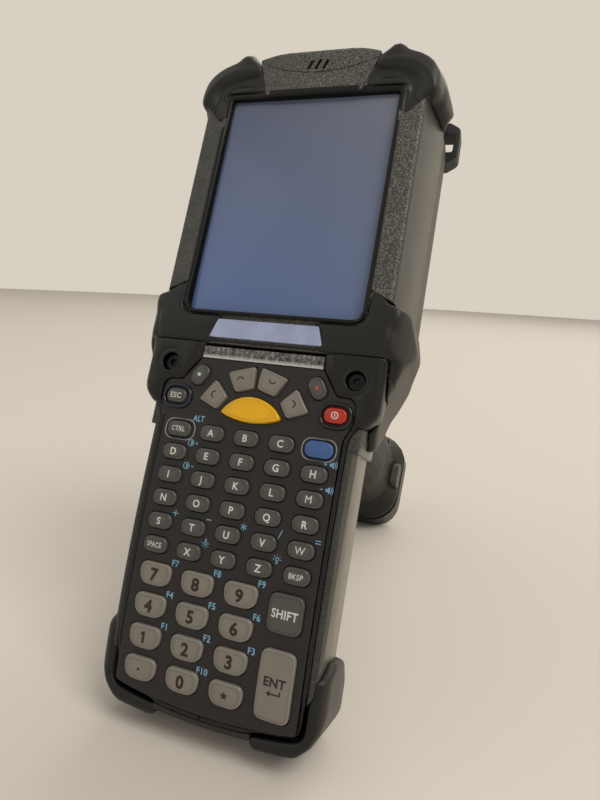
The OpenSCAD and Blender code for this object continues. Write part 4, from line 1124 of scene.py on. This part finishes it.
def power_mark():
    return joined(ring_mark(0.95, 0.3), stroke([[(0, -0.45), (0, 0.45)]], 0.3))


def enter_mark():
    head = filled([(-2.1, 0), (-0.9, -0.85), (-0.9, 0.85)])
    return joined(head, stroke([[(-1, 0), (1.9, 0), (1.9, 1.2)]], 0.45))


def contrast_mark():
    return joined(ring_mark(0.95, 0.22), filled(arc(0.62, 0, 180, 10)))


def speaker_mark():
    cone = filled([(-0.2, -0.45), (0.5, -1), (0.5, 1), (-0.2, 0.45)])
    magnet = filled([(-0.75, -0.4), (-0.25, -0.4), (-0.25, 0.4), (-0.75, 0.4)])
    waves = stroke([arc(radius, 45, 135, 8) for radius in (0.95, 1.45)], 0.2)
    return joined(cone, magnet, waves)


def lamp_mark(side):
    """A small lamp with rays, above it with side 1 and below it with side -1."""
    rays = [[(r * math.sin(a), r * math.cos(a) * side) for r in (0.85, 1.35)]
            for a in (-1.6, -0.8, 0, 0.8, 1.6)]
    corners = (-0.22, -1.3), (0.22, -1.3), (0.22, -0.4), (-0.22, -0.4)
    stem = filled([(x, y * side) for x, y in corners][::side])
    return joined(ring_mark(0.45, 0.22), stem, stroke(rays, 0.17))


def asterisk_mark(radius, width):
    return stroke([[around(radius, a), around(radius, a + 180)] for a in (0, 60, 120)], width)


def chevron_mark(angle):
    """A shallow arrow head that points the given number of degrees clockwise from up."""
    turn = math.radians(angle)
    points = [(-1.15, -0.45), (-0.55, 0.25), (0, 0.5), (0.55, 0.25), (1.15, -0.45)]
    return stroke([[(x * math.cos(turn) + y * math.sin(turn), y * math.cos(turn) - x * math.sin(turn))
                    for x, y in points]], 0.4)


# ---------------------------------------------------------------- the key field
WHITE_PRINT = plain("white_print", srgb(222, 221, 214), 0.5, 3)
DARK_PRINT = plain("dark_print", srgb(28, 26, 25), 0.5, 3)
BLUE_PRINT = plain("blue_print", srgb(126, 178, 208), 0.5, 3)
PALE_PRINT = plain("pale_print", srgb(158, 166, 170), 0.5, 3)
# painted shade: a near-black print for the shadow in the edges of the key holes
PAINTED_HOLE_SHADE = plain("painted_hole_shade", srgb(9, 9, 10), 0.35, 3)
GREEN_LAMP = plain("green_lamp", srgb(196, 222, 190), 0.3, 1)
RED_LAMP = plain("red_lamp", srgb(196, 74, 66), 0.3, 1)

LETTER_MM = 2.1
WORD_MM = 1.5
DIGIT_MM = 3.5
LETTER_ROWS = {
    "keys_abc": "ABC", "keys_defgh": "DEFGH", "keys_ijklm": "IJKLM", "keys_nopqr": "NOPQR",
    "keys_stuvw": "STUVW", "keys_xyz": ("SPACE", "X", "Y", "Z", "BKSP"),
}
NUMBER_ROWS = {"keys_789": "789", "keys_456": "456", "keys_123": "123", "keys_point_zero_star": ".0*"}


def legend(node, marks, material):
    """Prints (key, flat mesh) pairs on a node's keys, as one piece that moves with them."""
    def on_key(key):
        return lambda ring, up: key.placed(ring, key.crown(ring) + up)
    parts = [printed(flat, on_key(key)) for key, flat in marks]
    print_piece(node + "_legend", parts, material, node + "_body")


def letter_mark(text):
    if len(text) == 1:
        return letters(text, LETTER_MM, 0.95, 0.0 if text in "MW" else 0.022)
    return letters(text, WORD_MM, 0.78 if len(text) > 4 else 0.88, 0.008)


def digit_mark(text):
    if text == "*":
        return star_mark(1.35, 0.55)
    if text == ".":
        return disc(0.42)
    if text == "1":
        half = DIGIT_MM / 2
        return filled([(0.45, -half), (0.45, half), (-0.15, half), (-1.05, half - 0.75), (-0.75, half - 1.3),
                       (-0.35, half - 0.98), (-0.35, -half)])
    return letters(text, DIGIT_MM, 1.0, 0.04)


key_of = {}
for rows, mark, material in ((LETTER_ROWS, letter_mark, WHITE_PRINT), (NUMBER_ROWS, digit_mark, DARK_PRINT)):
    for node, texts in rows.items():
        key_of[node] = key_piece(node)
        legend(node, [(key, mark(text)) for key, text in zip(key_of[node], texts)], material)

ARROW_KEYS = "up_key", "down_key", "left_key", "right_key"
SINGLE_KEYS = {
    "control_key": (letters("CTRL", WORD_MM, 0.86, 0.008), WHITE_PRINT),
    "escape_key": (letters("ESC", 1.7, 0.95, 0.006), WHITE_PRINT),
    "power_key": (power_mark(), WHITE_PRINT),
    "blue_key": None,
    "scan_key": None,
    "shift_key": (letters("SHIFT", 2.3, 0.9, 0.026), WHITE_PRINT),
    "enter_key": (joined(moved(letters("ENT", 2.4, 0.98, 0.034), 0, 1.2), moved(enter_mark(), 0, -1.9)),
                  DARK_PRINT),
    "up_key": (chevron_mark(-17), DARK_PRINT),
    "down_key": (chevron_mark(197), DARK_PRINT),
    "left_key": (chevron_mark(-72), DARK_PRINT),
    "right_key": (chevron_mark(72), DARK_PRINT),
    "green_dot_key": (disc(0.6), GREEN_LAMP),
    "red_dot_key": (disc(0.6), RED_LAMP),
}
for node, mark in SINGLE_KEYS.items():
    key_of[node] = key_piece(node, 6 if node in ARROW_KEYS else 2)
    if mark:
        legend(node, [(key_of[node][0], mark[0])], mark[1])


# What is printed on the plate between the keys. The plate is flat down to BEND_Y and curved below it.
BEND_R = 476.0
BEND_Y = 4.5
PLATE_Z = -1.35


def bend_drop(y):
    below = np.maximum(BEND_Y - y, 0)
    return BEND_R - np.sqrt(BEND_R ** 2 - below ** 2)


def on_plate(x, y):
    def place(flat, up):
        flat = flat + (x, y)
        return to_frame(np.stack([flat[:, 0], flat[:, 1], PLATE_Z - bend_drop(flat[:, 1]) + up], 1))
    return place


def key_centre(node, column):
    """Middle of a key in the device's axes."""
    key = key_of[node][column]
    middle = key.placed(np.zeros((1, 2)), key.crown(np.zeros((1, 2))))[0]
    return ((middle - ORIGIN) @ TURN / MM)[:2]


FUNCTION_MM = 1.85
FUNCTIONS = {"keys_789": ("F7", "F8", "F9"), "keys_456": ("F4", "F5", "F6"), "keys_123": ("F1", "F2", "F3"),
             "keys_point_zero_star": ("", "F10")}


def plate_legends():
    """The blue signs at the upper right of the keys."""
    marks = [(letters("ALT", FUNCTION_MM, 0.8), -17.0, 21.8)]
    for node, column, mark, sign in (
        ("keys_defgh", 0, contrast_mark(), "+"), ("keys_ijklm", 0, contrast_mark(), "-"),
        ("keys_defgh", 4, speaker_mark(), "+"), ("keys_ijklm", 4, speaker_mark(), "-"),
        ("keys_xyz", 1, lamp_mark(-1), ""), ("keys_xyz", 3, lamp_mark(1), ""),
    ):
        x, y = key_centre(node, column) + (4.8, 3.4)
        marks.append((mark, x, y))
        if sign:
            side = 2.0 if column == 0 else -2.0
            marks.append((stroke([[(-0.45, 0), (0.45, 0)]], 0.22), x + side, y))
            if sign == "+":
                marks.append((stroke([[(0, -0.45), (0, 0.45)]], 0.22), x + side, y))
    signs = (
        stroke([[(-0.95, 0), (0.95, 0)], [(0, -0.95), (0, 0.95)]], 0.25),
        stroke([[(-0.8, 0), (0.8, 0)]], 0.28),
        asterisk_mark(1.0, 0.25), stroke([[(-0.5, -1.3), (0.5, 1.3)]], 0.25),
        stroke([[(-0.85, -0.35), (0.85, -0.35)], [(-0.85, 0.35), (0.85, 0.35)]], 0.22),
    )
    for column, sign in enumerate(signs):
        x, y = key_centre("keys_stuvw", column) + (4.5, 3.1)
        marks.append((sign, x, y))
    for node, names in FUNCTIONS.items():
        for column, name in enumerate(names):
            if name:
                x, y = key_centre(node, column) + (5.8, 4.3)
                marks.append((letters(name, FUNCTION_MM, 0.9, 0.02), x, y))
    print_piece("plate_legends", [printed(mark, on_plate(x, y)) for mark, x, y in marks], BLUE_PRINT)


def key_outline_rings():
    """The pale outlines round the two keys that change what others do."""
    parts = []
    for node, width in (("control_key", 10.2), ("blue_key", 10.3)):
        w, h, r = width / 2, 3.15, 2.6
        corners = [(w - r, h - r, 0), (w - r, r - h, 90), (r - w, r - h, 180), (r - w, h - r, 270)]
        loop = [p for cx, cy, a in corners for p in arc(r, a, a + 90, 8, cx, cy)]
        parts.append(printed(stroke([loop + loop[:1]], 0.28), on_plate(*key_centre(node, 0))))
    print_piece("key_outline_rings", parts, PALE_PRINT)


CLEAR_WELLS = {"escape_key": srgb(14, 24, 46), "power_key": srgb(12, 12, 13)}


def painted_hole_shadows():
    """A painted shadow: a thin black ring round each hole in the plate that has no bead round it, for the shade in
    the hole's edge.
    """
    parts = []
    for node, keys in key_of.items():
        if node in CLEAR_WELLS:
            continue
        for column, key in enumerate(keys):
            loop = [tuple(p) for p in moved_in(resampled(key.hull, 56, 2), -0.62)]
            flat = stroke([loop + loop[:1]], 0.42)
            parts.append(printed(flat, on_plate(*key_centre(node, column)), 2.0))
    print_piece("painted_hole_shadows", parts, PAINTED_HOLE_SHADE)


def clear_well(node, tint):
    """A glossy bead on the plate round a key."""
    outline = resampled(key_of[node][0].hull, 96, 8)
    ring = moved_in(outline, -1.25) + key_centre(node, 0)
    rings = []
    for a in np.radians(np.arange(0, 360, 36)):
        flat = moved_in(ring, -0.62 * math.sin(a))
        rings.append(np.column_stack([flat, np.full(len(ring), PLATE_Z + 0.1 + 0.75 * math.cos(a))]))
    gloss = plain(node + "_surround", tint, 0.1, 4, 0.5, 0.003)
    faces = ring_faces(len(rings), len(ring), loop=True)
    piece(node + "_surround", to_frame(np.concatenate(rings)), faces, gloss)


plate_legends()
key_outline_rings()
painted_hole_shadows()
for node, tint in CLEAR_WELLS.items():
    clear_well(node, tint)


# ---------------------------------------------------------------- stage, light and camera
MIDDLE = (0, 0, 0.1)
PAPER = srgb(232, 224, 212)
WALL = srgb(216, 208, 194)


def paper_floor():
    mesh = bpy.data.meshes.new("floor")
    made = bmesh.new()
    bmesh.ops.create_circle(made, cap_ends=True, radius=4, segments=64)
    made.to_mesh(mesh)
    made.free()
    mesh.materials.append(Material("paper", PAPER, 0.8).vary(400, 0.99, 1.01, 0.02).mat)
    floor = bpy.data.objects.new("floor", mesh)
    bpy.context.scene.collection.objects.link(floor)


def surroundings():
    """Soft light from all sides, with a warmer wall that is seen directly and in reflections."""
    world = bpy.data.worlds.new("studio")
    bpy.context.scene.world = world
    world.use_nodes = True
    nodes, link = world.node_tree.nodes, world.node_tree.links.new
    light = nodes["Background"]
    light.inputs["Color"].default_value = srgb(236, 232, 226)
    light.inputs["Strength"].default_value = 0.45
    seen = nodes.new("ShaderNodeBackground")
    seen.inputs["Color"].default_value = WALL
    path = nodes.new("ShaderNodeLightPath")
    mix = nodes.new("ShaderNodeMixShader")
    direct = path.outputs["Is Camera Ray"]
    for ray in ("Is Glossy Ray", "Is Transmission Ray"):
        either = nodes.new("ShaderNodeMath")
        either.operation = "MAXIMUM"
        link(direct, either.inputs[0])
        link(path.outputs[ray], either.inputs[1])
        direct = either.outputs["Value"]
    link(direct, mix.inputs["Fac"])
    link(light.outputs["Background"], mix.inputs[1])
    link(seen.outputs["Background"], mix.inputs[2])
    link(mix.outputs["Shader"], nodes["World Output"].inputs["Surface"])


def softbox(name, place, size, power, colour):
    """A rectangular lamp that faces the middle of the terminal."""
    lamp = bpy.data.lights.new(name, "AREA")
    lamp.shape = "RECTANGLE"
    lamp.size, lamp.size_y = size
    lamp.energy = power
    lamp.color = colour
    made = bpy.data.objects.new(name, lamp)
    made.location = place
    made.rotation_euler = (Vector(MIDDLE) - Vector(place)).to_track_quat("-Z", "Y").to_euler()
    bpy.context.scene.collection.objects.link(made)


LOOK_TURN = 78.5008, -2.9995, 20.1422
LOOK_LENS_MM = 25.906


def camera():
    """The camera of the photo, as it was solved from the screen's rectangle."""
    data = bpy.data.cameras.new("camera")
    data.sensor_width = 36
    data.lens = LOOK_LENS_MM
    made = bpy.data.objects.new("camera", data)
    made.location = LOOK_FROM
    made.rotation_euler = [math.radians(a) for a in LOOK_TURN]
    data.clip_start = 0.01
    bpy.context.scene.collection.objects.link(made)
    bpy.context.scene.camera = made


paper_floor()
surroundings()
softbox("key_light", (1.5, -0.7, 2.3), (1.3, 1.3), 28, (1, 0.97, 0.92))
softbox("left_light", (-2.0, -1.5, 1.9), (1.6, 1.6), 3.5, (1, 0.98, 0.95))
softbox("back_light", (0.4, 2.0, 2.2), (2.6, 2.0), 27, (1, 0.97, 0.92))
camera()
bpy.context.scene.view_settings.view_transform = "Standard"
